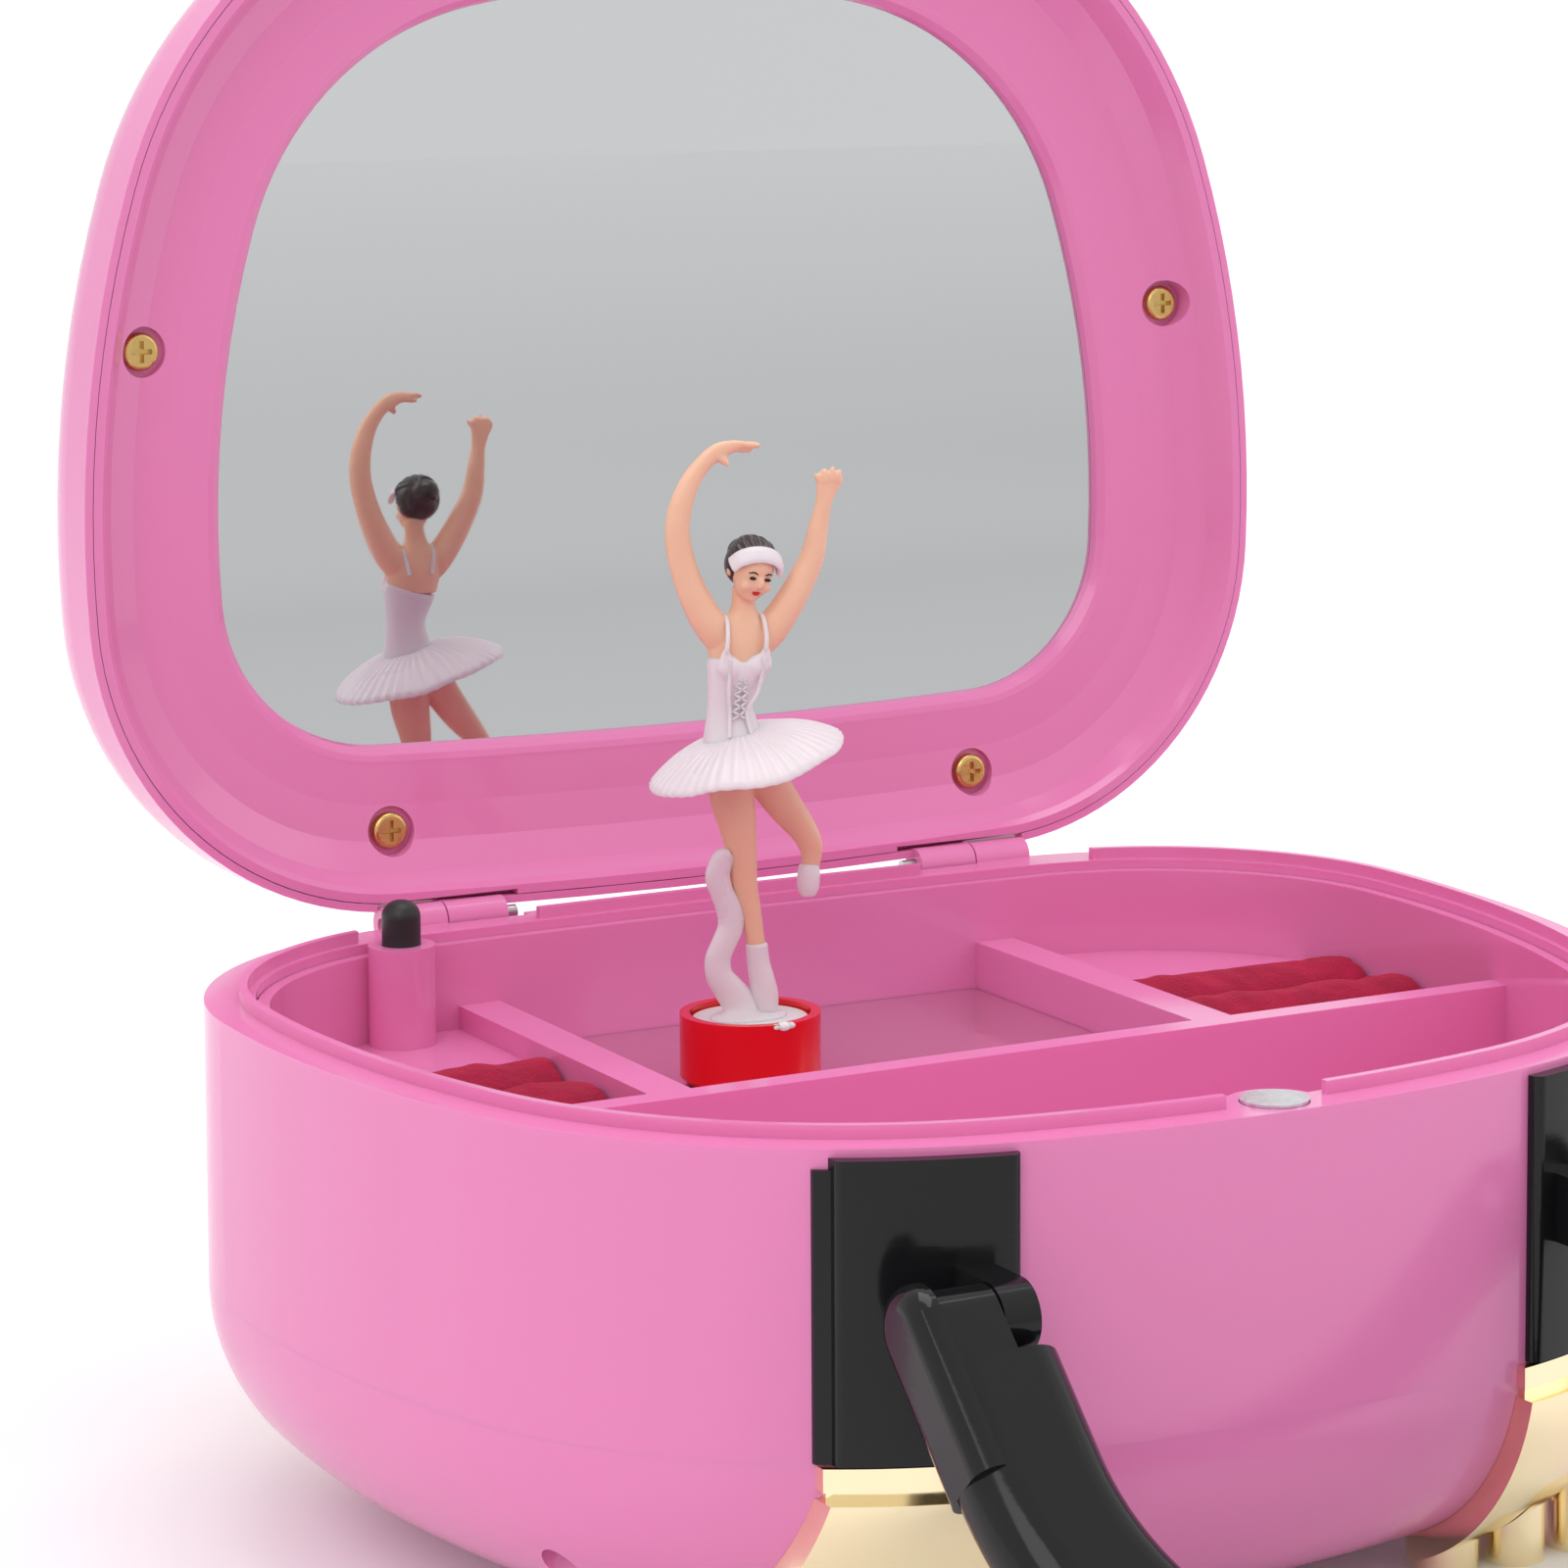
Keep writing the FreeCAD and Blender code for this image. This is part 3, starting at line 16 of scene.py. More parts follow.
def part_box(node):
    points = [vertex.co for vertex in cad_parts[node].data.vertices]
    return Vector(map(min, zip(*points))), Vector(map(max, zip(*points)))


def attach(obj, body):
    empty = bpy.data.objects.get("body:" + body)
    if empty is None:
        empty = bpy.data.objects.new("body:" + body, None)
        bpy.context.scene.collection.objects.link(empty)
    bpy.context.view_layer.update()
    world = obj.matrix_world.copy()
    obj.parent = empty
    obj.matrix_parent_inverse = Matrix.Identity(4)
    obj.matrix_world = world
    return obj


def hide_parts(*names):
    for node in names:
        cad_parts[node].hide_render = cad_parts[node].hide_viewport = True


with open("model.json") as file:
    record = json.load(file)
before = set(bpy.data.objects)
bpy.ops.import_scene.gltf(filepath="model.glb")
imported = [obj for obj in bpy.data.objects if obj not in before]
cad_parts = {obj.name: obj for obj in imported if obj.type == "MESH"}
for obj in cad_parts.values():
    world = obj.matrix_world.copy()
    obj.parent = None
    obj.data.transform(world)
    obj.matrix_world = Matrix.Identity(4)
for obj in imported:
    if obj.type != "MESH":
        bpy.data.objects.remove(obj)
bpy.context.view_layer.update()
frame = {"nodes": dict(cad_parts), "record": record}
NODES = frame["nodes"]
SLOT_OF = {row["node"]: row["material_slot"] for row in frame["record"]["subparts"]}
MM = 0.001


# ---------------------------------------------------------------- shader helpers
def set_range(ramp, from_low, from_high, to_low, to_high):
    """Limits of a map range node."""
    for socket, number in zip(("From Min", "From Max", "To Min", "To Max"),
                              (from_low, from_high, to_low, to_high)):
        ramp.inputs[socket].default_value = number


class Shader:
    """Principled material with short ways to add procedural detail."""

    def __init__(self, name, colour, roughness, metallic=0.0):
        self.material = bpy.data.materials.new(name)
        self.material.use_nodes = True
        self.tree = self.material.node_tree
        self.body = self.tree.nodes["Principled BSDF"]
        self.body.inputs["Base Color"].default_value = (*colour, 1)
        self.body.inputs["Roughness"].default_value = roughness
        self.body.inputs["Metallic"].default_value = metallic
        self.coordinates = self.node("ShaderNodeTexCoord")
        self.bump_normal = None

    def node(self, kind, **settings):
        made = self.tree.nodes.new(kind)
        for key, value in settings.items():
            setattr(made, key, value)
        return made

    def link(self, output, socket):
        self.tree.links.new(output, socket)

    def noise(self, scale, detail=3.0, stretch=(1, 1, 1)):
        mapping = self.node("ShaderNodeMapping")
        mapping.inputs["Scale"].default_value = stretch
        self.link(self.coordinates.outputs["Object"], mapping.inputs["Vector"])
        texture = self.node("ShaderNodeTexNoise")
        texture.inputs["Scale"].default_value = scale
        texture.inputs["Detail"].default_value = detail
        self.link(mapping.outputs["Vector"], texture.inputs["Vector"])
        return texture.outputs["Fac"]

    def spots(self, scale, size):
        """1 in small round spots scattered in space, 0 elsewhere."""
        texture = self.node("ShaderNodeTexVoronoi")
        texture.inputs["Scale"].default_value = scale
        self.link(self.coordinates.outputs["Object"], texture.inputs["Vector"])
        return self.spread(texture.outputs["Distance"], size * 0.5, size, 1.0, 0.0)

    def spread(self, value, from_low, from_high, to_low, to_high):
        ramp = self.node("ShaderNodeMapRange")
        set_range(ramp, from_low, from_high, to_low, to_high)
        self.link(value, ramp.inputs["Value"])
        return ramp.outputs["Result"]

    def rough(self, value, low, high):
        self.link(self.spread(value, 0.35, 0.65, low, high), self.body.inputs["Roughness"])

    def tint(self, value, colour_low, colour_high):
        mix = self.node("ShaderNodeMix", data_type="RGBA")
        mix.inputs["A"].default_value = (*colour_low, 1)
        mix.inputs["B"].default_value = (*colour_high, 1)
        self.link(value, mix.inputs["Factor"])
        self.link(mix.outputs["Result"], self.body.inputs["Base Color"])

    def bump(self, value, height):
        made = self.node("ShaderNodeBump")
        made.inputs["Strength"].default_value = 1.0
        made.inputs["Distance"].default_value = height
        self.link(value, made.inputs["Height"])
        if self.bump_normal is not None:
            self.link(self.bump_normal, made.inputs["Normal"])
        self.bump_normal = made.outputs["Normal"]
        self.link(self.bump_normal, self.body.inputs["Normal"])


def moulded_plastic(name, colour, dark, gloss=(0.10, 0.20), subsurface=0.0):
    """Polished moulded plastic: faint flow waves, handling smears and a few dust specks."""
    shader = Shader(name, colour, gloss[0])
    shader.body.inputs["IOR"].default_value = 1.5
    shader.body.inputs["Subsurface Weight"].default_value = subsurface
    shader.body.inputs["Subsurface Scale"].default_value = 0.002
    shader.body.inputs["Subsurface Radius"].default_value = (1.0, 0.4, 0.6)
    shader.rough(shader.noise(38, 5), *gloss)
    shader.tint(shader.spots(34, 0.011), colour, dark)
    shader.bump(shader.noise(22, 1), 0.00025)
    shader.bump(shader.noise(900, 2), 0.000004)
    return shader


def make_materials():
    pink = (0.77, 0.22, 0.47)
    shaders = {}
    dark_speck = (0.05, 0.05, 0.05)
    shaders["gloss_pink"] = moulded_plastic("pink plastic", pink, (0.45, 0.12, 0.2), (0.09, 0.17), 0.15)
    black = moulded_plastic("black plastic", (0.008, 0.008, 0.009), dark_speck, (0.10, 0.2))
    black.body.inputs["Specular IOR Level"].default_value = 0.3
    black.bump(black.noise(260, 2, (1, 1, 6)), 0.00001)
    shaders["gloss_black"] = black
    shaders["satin_black"] = moulded_plastic("satin black", (0.012, 0.012, 0.013), dark_speck, (0.35, 0.5))
    shaders["red_plastic"] = moulded_plastic("red plastic", (0.76, 0.003, 0.008), (0.3, 0, 0),
                                             (0.10, 0.2), 0.1)
    shaders["satin_white"] = moulded_plastic("white plastic", (0.80, 0.78, 0.80), (0.5, 0.5, 0.5),
                                             (0.3, 0.45), 0.2)
    pearl = moulded_plastic("pearly plastic", (0.75, 0.67, 0.71), (0.5, 0.42, 0.42), (0.2, 0.36), 0.35)
    pearl.body.inputs["Sheen Weight"].default_value = 0.15
    shaders["pearl_white"] = pearl
    skin = moulded_plastic("doll skin", (0.82, 0.50, 0.35), (0.5, 0.2, 0.12), (0.28, 0.45), 0.25)
    skin.tint(skin.noise(260, 3), (0.86, 0.55, 0.38), (0.80, 0.46, 0.31))
    shaders["doll_skin"] = skin

    velvet = Shader("red velvet", (0.16, 0.002, 0.008), 0.95)
    velvet.body.inputs["Sheen Weight"].default_value = 0.7
    velvet.body.inputs["Sheen Roughness"].default_value = 0.35
    velvet.body.inputs["Sheen Tint"].default_value = (0.8, 0.08, 0.12, 1)
    velvet.tint(velvet.noise(170, 4), (0.20, 0.001, 0.020), (0.52, 0.006, 0.065))
    velvet.bump(velvet.noise(2600, 3), 0.00022)
    velvet.bump(velvet.noise(240, 3), 0.0006)
    shaders["red_velvet"] = velvet

    mirror = Shader("silvered mirror", (0.72, 0.735, 0.745), 0.012, 1.0)
    mirror.link(mirror.spread(mirror.noise(26, 6, (1, 1, 3)), 0.45, 0.75, 0.008, 0.045),
                mirror.body.inputs["Roughness"])
    mirror.tint(mirror.spots(70, 0.02), (0.72, 0.735, 0.745), (0.5, 0.51, 0.52))
    shaders["mirror_glass"] = mirror
    sheet = Shader("pink reflective sheet", (0.74, 0.46, 0.60), 0.07, 0.8)
    sheet.rough(sheet.noise(60, 5, (1, 5, 1)), 0.05, 0.15)
    sheet.bump(sheet.noise(30, 2), 0.0002)
    shaders["mirror_pink"] = sheet

    gilt = Shader("gold plating", (1.0, 0.86, 0.57), 0.10, 1.0)
    gilt.rough(gilt.noise(90, 5), 0.07, 0.2)
    gilt.tint(gilt.noise(35, 4), (1.0, 0.89, 0.62), (0.97, 0.80, 0.50))
    gilt.bump(gilt.noise(75, 2), 0.00025)
    shaders["gilt"] = gilt
    for slot, colour, rough in (("screw_gilt", (0.80, 0.55, 0.20), (0.18, 0.42)),
                                ("movement_brass", (0.80, 0.60, 0.28), (0.25, 0.42)),
                                ("bright_steel", (0.60, 0.60, 0.61), (0.2, 0.36)),
                                ("spring_steel", (0.40, 0.41, 0.43), (0.25, 0.4)),
                                ("magnet_metal", (0.74, 0.75, 0.77), (0.12, 0.3))):
        shader = Shader(slot.replace("_", " "), colour, rough[0], 1.0)
        shader.rough(shader.noise(420, 4), *rough)
        shader.tint(shader.noise(900, 4), colour, tuple(part * 0.72 for part in colour))
        shader.bump(shader.noise(1500, 3), 0.00003)
        shaders[slot] = shader
    return {slot: shader.material for slot, shader in shaders.items()}


MATERIALS = make_materials()


def plain_paint(name, colour, roughness):
    shader = Shader(name, colour, roughness)
    shader.rough(shader.noise(500, 2), roughness - 0.05, roughness + 0.1)
    return shader.material


HAIR = plain_paint("hair paint", (0.035, 0.024, 0.022), 0.3)
LIPS = plain_paint("lip paint", (0.55, 0.012, 0.02), 0.3)
EYES = plain_paint("eye paint", (0.01, 0.008, 0.008), 0.25)
GLUE = moulded_plastic("clear glue", (0.9, 0.86, 0.84), (0.6, 0.5, 0.5), (0.08, 0.2), 0.4).material


def paint(piece, material):
    piece.data.materials.clear()
    piece.data.materials.append(material)


def smooth(piece, degrees):
    """Smooth shading that keeps edges sharper than an angle."""
    mesh = piece.data
    mesh.shade_smooth()
    mesh.set_sharp_from_angle(angle=math.radians(degrees))


for node_name, node in NODES.items():
    paint(node, MATERIALS[SLOT_OF[node_name]])


# ---------------------------------------------------------------- mesh helpers
def mesh_piece(name, points, faces, material=None):
    mesh = bpy.data.meshes.new(name)
    mesh.from_pydata([tuple(point) for point in points], [], faces)
    mesh.update()
    piece = bpy.data.objects.new(name, mesh)
    bpy.context.scene.collection.objects.link(piece)
    if material is not None:
        paint(piece, material)
    return piece


def spline_points(points, steps=8):
    """Points on a smooth curve through the given points, with their extra values carried along."""
    data = [np.array(point, float) for point in points]
    data = [2 * data[0] - data[1]] + data + [2 * data[-1] - data[-2]]
    result = []
    for index in range(1, len(data) - 2):
        a, b, c, d = data[index - 1:index + 3]
        for step in range(steps):
            t = step / steps
            result.append(0.5 * (2 * b + (c - a) * t + (2 * a - 5 * b + 4 * c - d) * t * t
                                 + (3 * b - a - 3 * c + d) * t ** 3))
    result.append(data[-2])
    return result


def tube_mesh(path, sides=20, across=(1, 0, 0), steps=8):
    """Closed tube through points (x, y, z, width radius, depth radius), as points and faces."""
    samples = spline_points(path, steps)
    points, faces = [], []
    for index, sample in enumerate(samples):
        before = samples[max(index - 1, 0)][:3]
        after = samples[min(index + 1, len(samples) - 1)][:3]
        along = Vector(after - before).normalized()
        side = Vector(across)
        side = (side - along * side.dot(along)).normalized()
        deep = along.cross(side)
        centre = Vector(sample[:3])
        for corner in range(sides):
            angle = 2 * math.pi * corner / sides
            points.append(centre + side * (math.cos(angle) * max(sample[3], 0.02))
                          + deep * (math.sin(angle) * max(sample[4], 0.02)))
    rings = len(samples)
    for ring in range(rings - 1):
        for corner in range(sides):
            nearby = (corner + 1) % sides
            faces.append((ring * sides + corner, ring * sides + nearby,
                          (ring + 1) * sides + nearby, (ring + 1) * sides + corner))
    faces.append(tuple(reversed(range(sides))))
    faces.append(tuple(range((rings - 1) * sides, rings * sides)))
    return points, faces


def ball_mesh(centre, radii, segments=24, rings=14):
    points, faces = [], []
    for ring in range(rings + 1):
        up = math.pi * ring / rings
        for corner in range(segments):
            turn = 2 * math.pi * corner / segments
            points.append(Vector((centre[0] + radii[0] * math.sin(up) * math.cos(turn),
                                  centre[1] + radii[1] * math.sin(up) * math.sin(turn),
                                  centre[2] + radii[2] * math.cos(up))))
    for ring in range(rings):
        for corner in range(segments):
            nearby = (corner + 1) % segments
            faces.append((ring * segments + corner, (ring + 1) * segments + corner,
                          (ring + 1) * segments + nearby, ring * segments + nearby))
    return points, faces


def merged(parts):
    points, faces = [], []
    for part_points, part_faces in parts:
        start = len(points)
        points += part_points
        faces += [tuple(start + index for index in face) for face in part_faces]
    return points, faces


def apply_modifier(piece, kind, **settings):
    modifier = piece.modifiers.new("step", kind)
    for key, value in settings.items():
        setattr(modifier, key, value)
    evaluated = piece.evaluated_get(bpy.context.evaluated_depsgraph_get())
    mesh = bpy.data.meshes.new_from_object(evaluated)
    piece.modifiers.clear()
    piece.data = mesh


def clean(piece):
    """Weld doubled points and turn all faces outwards."""
    work = bmesh.new()
    work.from_mesh(piece.data)
    bmesh.ops.remove_doubles(work, verts=work.verts, dist=1e-7)
    bmesh.ops.dissolve_degenerate(work, edges=work.edges, dist=1e-8)
    bmesh.ops.recalc_face_normals(work, faces=work.faces)
    work.to_mesh(piece.data)
    work.free()


# ---------------------------------------------------------------- doll
cup_low, cup_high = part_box("magnet_cup")
magnet_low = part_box("cup_magnet")[0]
DOLL = Vector(((cup_low.x + cup_high.x) / 2, (cup_low.y + cup_high.y) / 2, magnet_low.z - 0.02 * MM))
FACING = math.radians(-6.0)
WIDEN = Matrix.Diagonal((1.08, 1, 1, 1))
TO_WORLD = Matrix.Translation(DOLL) @ Matrix.Rotation(FACING, 4, "Z") @ Matrix.Scale(MM, 4) @ WIDEN
NECK = Vector((0.3, 0.1, 59.0))
HEAD_TURN = (Matrix.Rotation(math.radians(11), 3, "Y") @ Matrix.Rotation(math.radians(6), 3, "Z")
             @ Matrix.Rotation(math.radians(14), 3, "X"))


def doll_piece(name, parts, material, voxel=0.0, relax=0, stands_for=None):
    """Piece of the doll made from closed parts, melted together if a voxel size is given."""
    points, faces = merged(parts)
    piece = mesh_piece(name, [TO_WORLD @ Vector(point) for point in points], faces, material)
    clean(piece)
    if voxel:
        apply_modifier(piece, "REMESH", mode="VOXEL", voxel_size=voxel * MM)
        if relax:
            apply_modifier(piece, "SMOOTH", factor=0.5, iterations=relax)
        paint(piece, material)
    smooth(piece, 60)
    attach(piece, "dancer")
    if stands_for:
        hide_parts(stands_for)
    return piece


def posed_head(parts):
    """Head pieces turned and bowed on the neck, set over her right shoulder."""
    aside = Vector((-1.4, 0, 0))
    return [([NECK + aside + HEAD_TURN @ (Vector(point) - NECK) for point in points], faces)
            for points, faces in parts]


def finger(start, end, radius):
    middle = [(a + b) / 2 for a, b in zip(start, end)]
    tip = radius * 0.55
    path = [(*start, radius, radius), (*middle, radius, radius), (*end, tip, tip)]
    return tube_mesh(path, 10, (0.3, 1, 0), 4)


def skin_parts():
    """Arms, shoulders, neck, head and legs."""
    first_arm = [(-1.8, 0.3, 51.8, 1.5, 1.4), (-3.4, 0.3, 54.3, 2.0, 1.7),
                 (-5.1, 0.4, 56.9, 1.85, 1.6), (-6.9, 0.5, 61.2, 1.6, 1.4),
                 (-7.9, 0.5, 65.6, 1.45, 1.3), (-7.7, 0.4, 69.2, 1.35, 1.2), (-6.5, 0.2, 72.6, 1.15, 1.0),
                 (-4.8, 0.1, 74.9, 1.0, 0.8), (-3.2, 0.0, 76.1, 1.05, 0.65), (-1.4, -0.1, 76.6, 0.8, 0.5),
                 (0.4, -0.2, 76.7, 0.5, 0.42), (1.5, -0.2, 76.5, 0.32, 0.3)]
    second_arm = [(0.6, 0.3, 51.8, 1.5, 1.4), (2.4, 0.3, 54.0, 2.0, 1.7),
                  (4.3, 0.4, 56.4, 1.85, 1.6), (6.4, 0.5, 59.8, 1.65, 1.4),
                  (7.9, 0.6, 63.0, 1.4, 1.3), (8.6, 0.5, 66.4, 1.15, 1.1), (9.1, 0.3, 69.0, 0.95, 0.85),
                  (9.5, 0.2, 70.8, 1.25, 0.75), (9.8, 0.1, 72.2, 1.7, 0.6), (9.9, 0.1, 73.1, 1.2, 0.45)]
    parts = [tube_mesh(first_arm), tube_mesh(second_arm)]
    parts += [finger((-3.4, -0.1, 75.6), (-2.2, -0.4, 74.4), 0.5),
              finger((-1.8, 0.1, 76.3), (0.6, 0.2, 75.9), 0.36)]
    parts += [finger((8.9, 0.1, 71.4), (7.9, -0.3, 72.9), 0.34),
              finger((9.2, -0.3, 71.8), (9.0, -0.4, 73.5), 0.4),
              finger((9.9, -0.3, 71.9), (10.0, -0.4, 73.7), 0.4),
              finger((10.6, -0.2, 71.7), (10.9, -0.3, 73.3), 0.4)]
    chest = [(-1.0, 0.3, 50.0, 3.2, 2.2), (-0.8, 0.3, 53.0, 3.8, 2.3), (-0.5, 0.4, 55.0, 3.6, 1.9),
             (-0.4, 0.4, 56.4, 1.9, 1.5), (-0.4, 0.3, 57.8, 1.3, 1.2), (-0.5, 0.1, 59.8, 1.25, 1.2)]
    parts.append(tube_mesh(chest, 28))
    head = [ball_mesh((1.0, 0.3, 62.6), (2.5, 2.9, 3.0)),
            ball_mesh((1.1, -0.75, 61.0), (1.95, 1.8, 2.35)),
            ball_mesh((1.15, -1.55, 59.5), (0.8, 0.75, 0.7)),
            ball_mesh((1.15, -2.75, 61.5), (0.38, 0.6, 0.7))]
    for side in (-1, 1):
        head.append(ball_mesh((1.0 + side * 2.35, 0.5, 61.7), (0.35, 0.5, 0.75)))
        head.append(ball_mesh((1.1 + side * 1.1, -1.9, 60.8), (0.75, 0.6, 0.65)))
    parts += posed_head(head)
    standing = [(-2.2, 0.2, 42.0, 2.6, 2.6), (-2.1, 0.2, 38.0, 2.6, 2.6), (-1.9, 0.2, 34.4, 2.5, 2.5),
                (-1.3, 0.1, 31.0, 2.1, 2.1), (-0.9, 0.1, 28.0, 1.75, 1.8), (-0.5, 0.4, 24.0, 1.5, 1.65),
                (0.2, 0.4, 20.6, 1.25, 1.35), (0.7, 0.1, 17.2, 1.05, 1.05), (1.0, 0.0, 14.5, 1.05, 1.05)]
    raised = [(0.0, 0.3, 41.5, 2.4, 2.4), (2.0, 0.5, 37.0, 2.3, 2.3), (4.5, 0.8, 33.0, 2.05, 2.0),
              (6.8, 1.1, 29.8, 1.6, 1.6), (7.8, 1.3, 27.6, 1.35, 1.3), (7.8, 1.3, 25.6, 1.05, 1.0),
              (7.5, 1.3, 24.0, 1.0, 0.95)]
    parts += [tube_mesh(standing), tube_mesh(raised)]
    return parts


def bodice_parts():
    """Leotard from the hips to the neckline."""
    trunk = [(-1.6, 0.1, 39.0, 3.0, 2.9), (-1.8, 0.1, 41.6, 3.35, 3.0), (-2.0, 0.1, 43.6, 2.95, 2.5),
             (-2.1, 0.1, 45.6, 2.6, 2.15), (-1.8, 0.0, 47.8, 2.95, 2.3), (-1.4, -0.1, 49.6, 3.4, 2.6),
             (-1.1, 0.1, 50.6, 3.55, 2.45)]
    parts = [tube_mesh(trunk, 32)]
    for side in (-1, 1):
        parts.append(ball_mesh((-1.2 + side * 1.55, -1.6, 50.4), (1.45, 1.35, 1.55)))
        parts.append(tube_mesh([(-1.1 + side * 2.1, -1.9, 50.4, 1.25, 0.75),
                                (-1.0 + side * 2.3, -2.1, 52.0, 0.7, 0.4),
                                (-0.9 + side * 2.3, -2.2, 53.0, 0.3, 0.28)], 14))
    return parts


def bodice_trim():
    """Shoulder straps, front seams and lacing."""
    parts = []
    for side in (-1, 1):
        strap = [(-1.0 + side * 2.3, -2.3, 52.4, 0.28, 0.28),
                 (-0.8 + side * 2.25, -2.1, 54.2, 0.26, 0.26),
                 (-0.6 + side * 2.1, -0.6, 56.3, 0.26, 0.26),
                 (-0.7 + side * 2.1, 1.6, 55.6, 0.26, 0.26),
                 (-0.9 + side * 1.6, 2.5, 52.6, 0.28, 0.28)]
        seam = [(-1.0 + side * 2.0, -2.75, 51.6, 0.22, 0.22),
                (-1.5 + side * 1.7, -2.6, 47.5, 0.22, 0.22),
                (-2.0 + side * 1.0, -2.35, 45.2, 0.22, 0.22),
                (-1.9 + side * 1.3, -2.8, 42.4, 0.22, 0.22)]
        parts += [tube_mesh(line, 10, (1, 0, 0), 6) for line in (strap, seam)]
    for row in range(5):
        w = 49.4 - 1.0 * row
        lean = -1.55 - 0.1 * row
        for side in (-1, 1):
            lace = [(lean - side * 0.75, -2.35, w, 0.15, 0.15),
                    (lean, -2.62, w - 0.5, 0.15, 0.15),
                    (lean + side * 0.75, -2.35, w - 1.0, 0.15, 0.15)]
            parts.append(tube_mesh(lace, 8, (0, 0, 1), 4))
    return parts


def tutu_mesh():
    """Moulded skirt: deep pleats that open towards a scalloped hem, thicker at the waist."""
    pleats = 44
    around = pleats * 8
    rings = 16
    waist_radius, skirt_reach = 1.9, 9.2
    half_thickness = 0.3
    tilt = math.radians(9.0)
    centre = Vector((-0.9, 0.0, 42.4))
    points, faces = [], []
    for layer in (0, 1):
        for ring in range(rings + 1):
            part = ring / rings
            for step in range(around):
                turn = 2 * math.pi * step / around
                swing = noise.noise(Vector((math.cos(turn) * 1.6, math.sin(turn) * 1.6, 3.7)))
                phase = pleats * (turn + 0.10 * swing)
                fold = math.cos(phase)
                sharp = math.copysign(abs(fold) ** 0.7, fold)
                radius = waist_radius + skirt_reach * part + 0.06 * part ** 3 * fold + 0.3 * part * swing
                drop = 1.0 * part + 2.6 * part ** 2.4 - 0.9 * part * math.cos(turn - 0.3)
                height = -drop + 0.2 * part * (1.25 - part) * sharp + 1.1 * swing * part
                height += (half_thickness if layer == 0 else -half_thickness) * (1.4 - 0.7 * part)
                point = Vector((radius * math.cos(turn), radius * 0.96 * math.sin(turn), height))
                point = Matrix.Rotation(-tilt, 3, "Y") @ point
                points.append(point + centre)
    size = (rings + 1) * around
    for ring in range(rings):
        for step in range(around):
            nearby = (step + 1) % around
            low, high = ring * around, (ring + 1) * around
            faces.append((low + step, high + step, high + nearby, low + nearby))
            faces.append((size + low + step, size + low + nearby, size + high + nearby, size + high + step))
    for step in range(around):
        nearby = (step + 1) % around
        outer = rings * around
        faces.append((outer + step, size + outer + step, size + outer + nearby, outer + nearby))
        faces.append((step, nearby, size + nearby, size + step))
    return points, faces


def ribbon_parts():
    """Wavy moulded ribbon that props the standing leg, and the mound at its foot."""
    path = [(-2.4, -0.7, 28.0, 0.8, 0.6), (-3.2, -0.5, 27.6, 1.3, 0.9), (-3.8, -0.2, 25.4, 1.5, 0.9),
            (-3.2, 0.0, 23.2, 1.4, 0.9), (-2.3, 0.1, 21.0, 1.6, 0.9), (-2.2, 0.1, 19.0, 1.55, 0.9),
            (-3.1, 0.0, 17.0, 1.5, 0.9), (-3.8, 0.0, 15.2, 1.55, 0.9), (-3.6, 0.0, 13.2, 1.6, 1.0),
            (-2.6, 0.0, 11.6, 1.8, 1.1), (-1.5, 0.0, 10.0, 2.0, 1.2), (-0.9, 0.0, 8.6, 2.4, 1.6)]
    parts = [tube_mesh(path, 18)]
    parts.append(ball_mesh((-0.2, 0.0, 8.0), (4.6, 3.4, 0.7)))
    tie = [(-2.9, -0.3, 27.4, 0.7, 0.6), (-1.8, -0.2, 27.2, 0.8, 0.6), (-0.9, 0.0, 26.6, 0.7, 0.6)]
    parts.append(tube_mesh(tie, 12))
    return parts


def shoe_parts():
    pointed = [(0.8, 0.0, 16.8, 1.25, 1.25), (1.0, 0.0, 14.4, 1.3, 1.35), (1.4, -0.1, 12.2, 1.45, 1.55),
               (1.6, -0.2, 10.4, 1.6, 1.6), (1.7, -0.3, 8.9, 1.45, 1.4), (1.7, -0.3, 8.0, 1.3, 1.2)]
    raised = [(7.6, 1.3, 25.6, 1.15, 1.1), (7.5, 1.2, 24.2, 1.3, 1.35), (7.4, 1.1, 22.6, 1.2, 1.25),
              (7.4, 1.0, 21.6, 0.75, 0.8)]
    return [tube_mesh(pointed), tube_mesh(raised)]


def hair_parts():
    parts = [ball_mesh((1.0, 0.9, 62.7), (2.85, 2.85, 3.0))]
    parts.append(ball_mesh((1.0, 3.5, 63.2), (1.7, 1.5, 1.7)))
    for number in range(9):
        turn = math.radians(-80 + 20 * number)
        across = math.sin(turn)
        back = math.cos(turn)
        parts.append(tube_mesh([(1.0 + 2.5 * across, -0.9, 63.4 + 1.9 * back, 0.32, 0.3),
                                (1.0 + 2.5 * across, 1.2, 63.6 + 2.2 * back, 0.36, 0.34),
                                (1.0 + 1.1 * across, 3.2, 64.1 + 1.1 * back, 0.3, 0.3)], 8, (1, 0, 0), 5))
    return posed_head(parts)


def headband_parts():
    path = []
    for number in range(7):
        turn = math.radians(-84 + 28 * number)
        path.append((1.0 + 2.95 * math.sin(turn), -0.6 - 1.25 * math.cos(turn),
                     62.5 + 2.35 * math.cos(turn), 1.1, 0.4))
    return posed_head([tube_mesh(path, 14, (0, 1, 0.9), 5)])


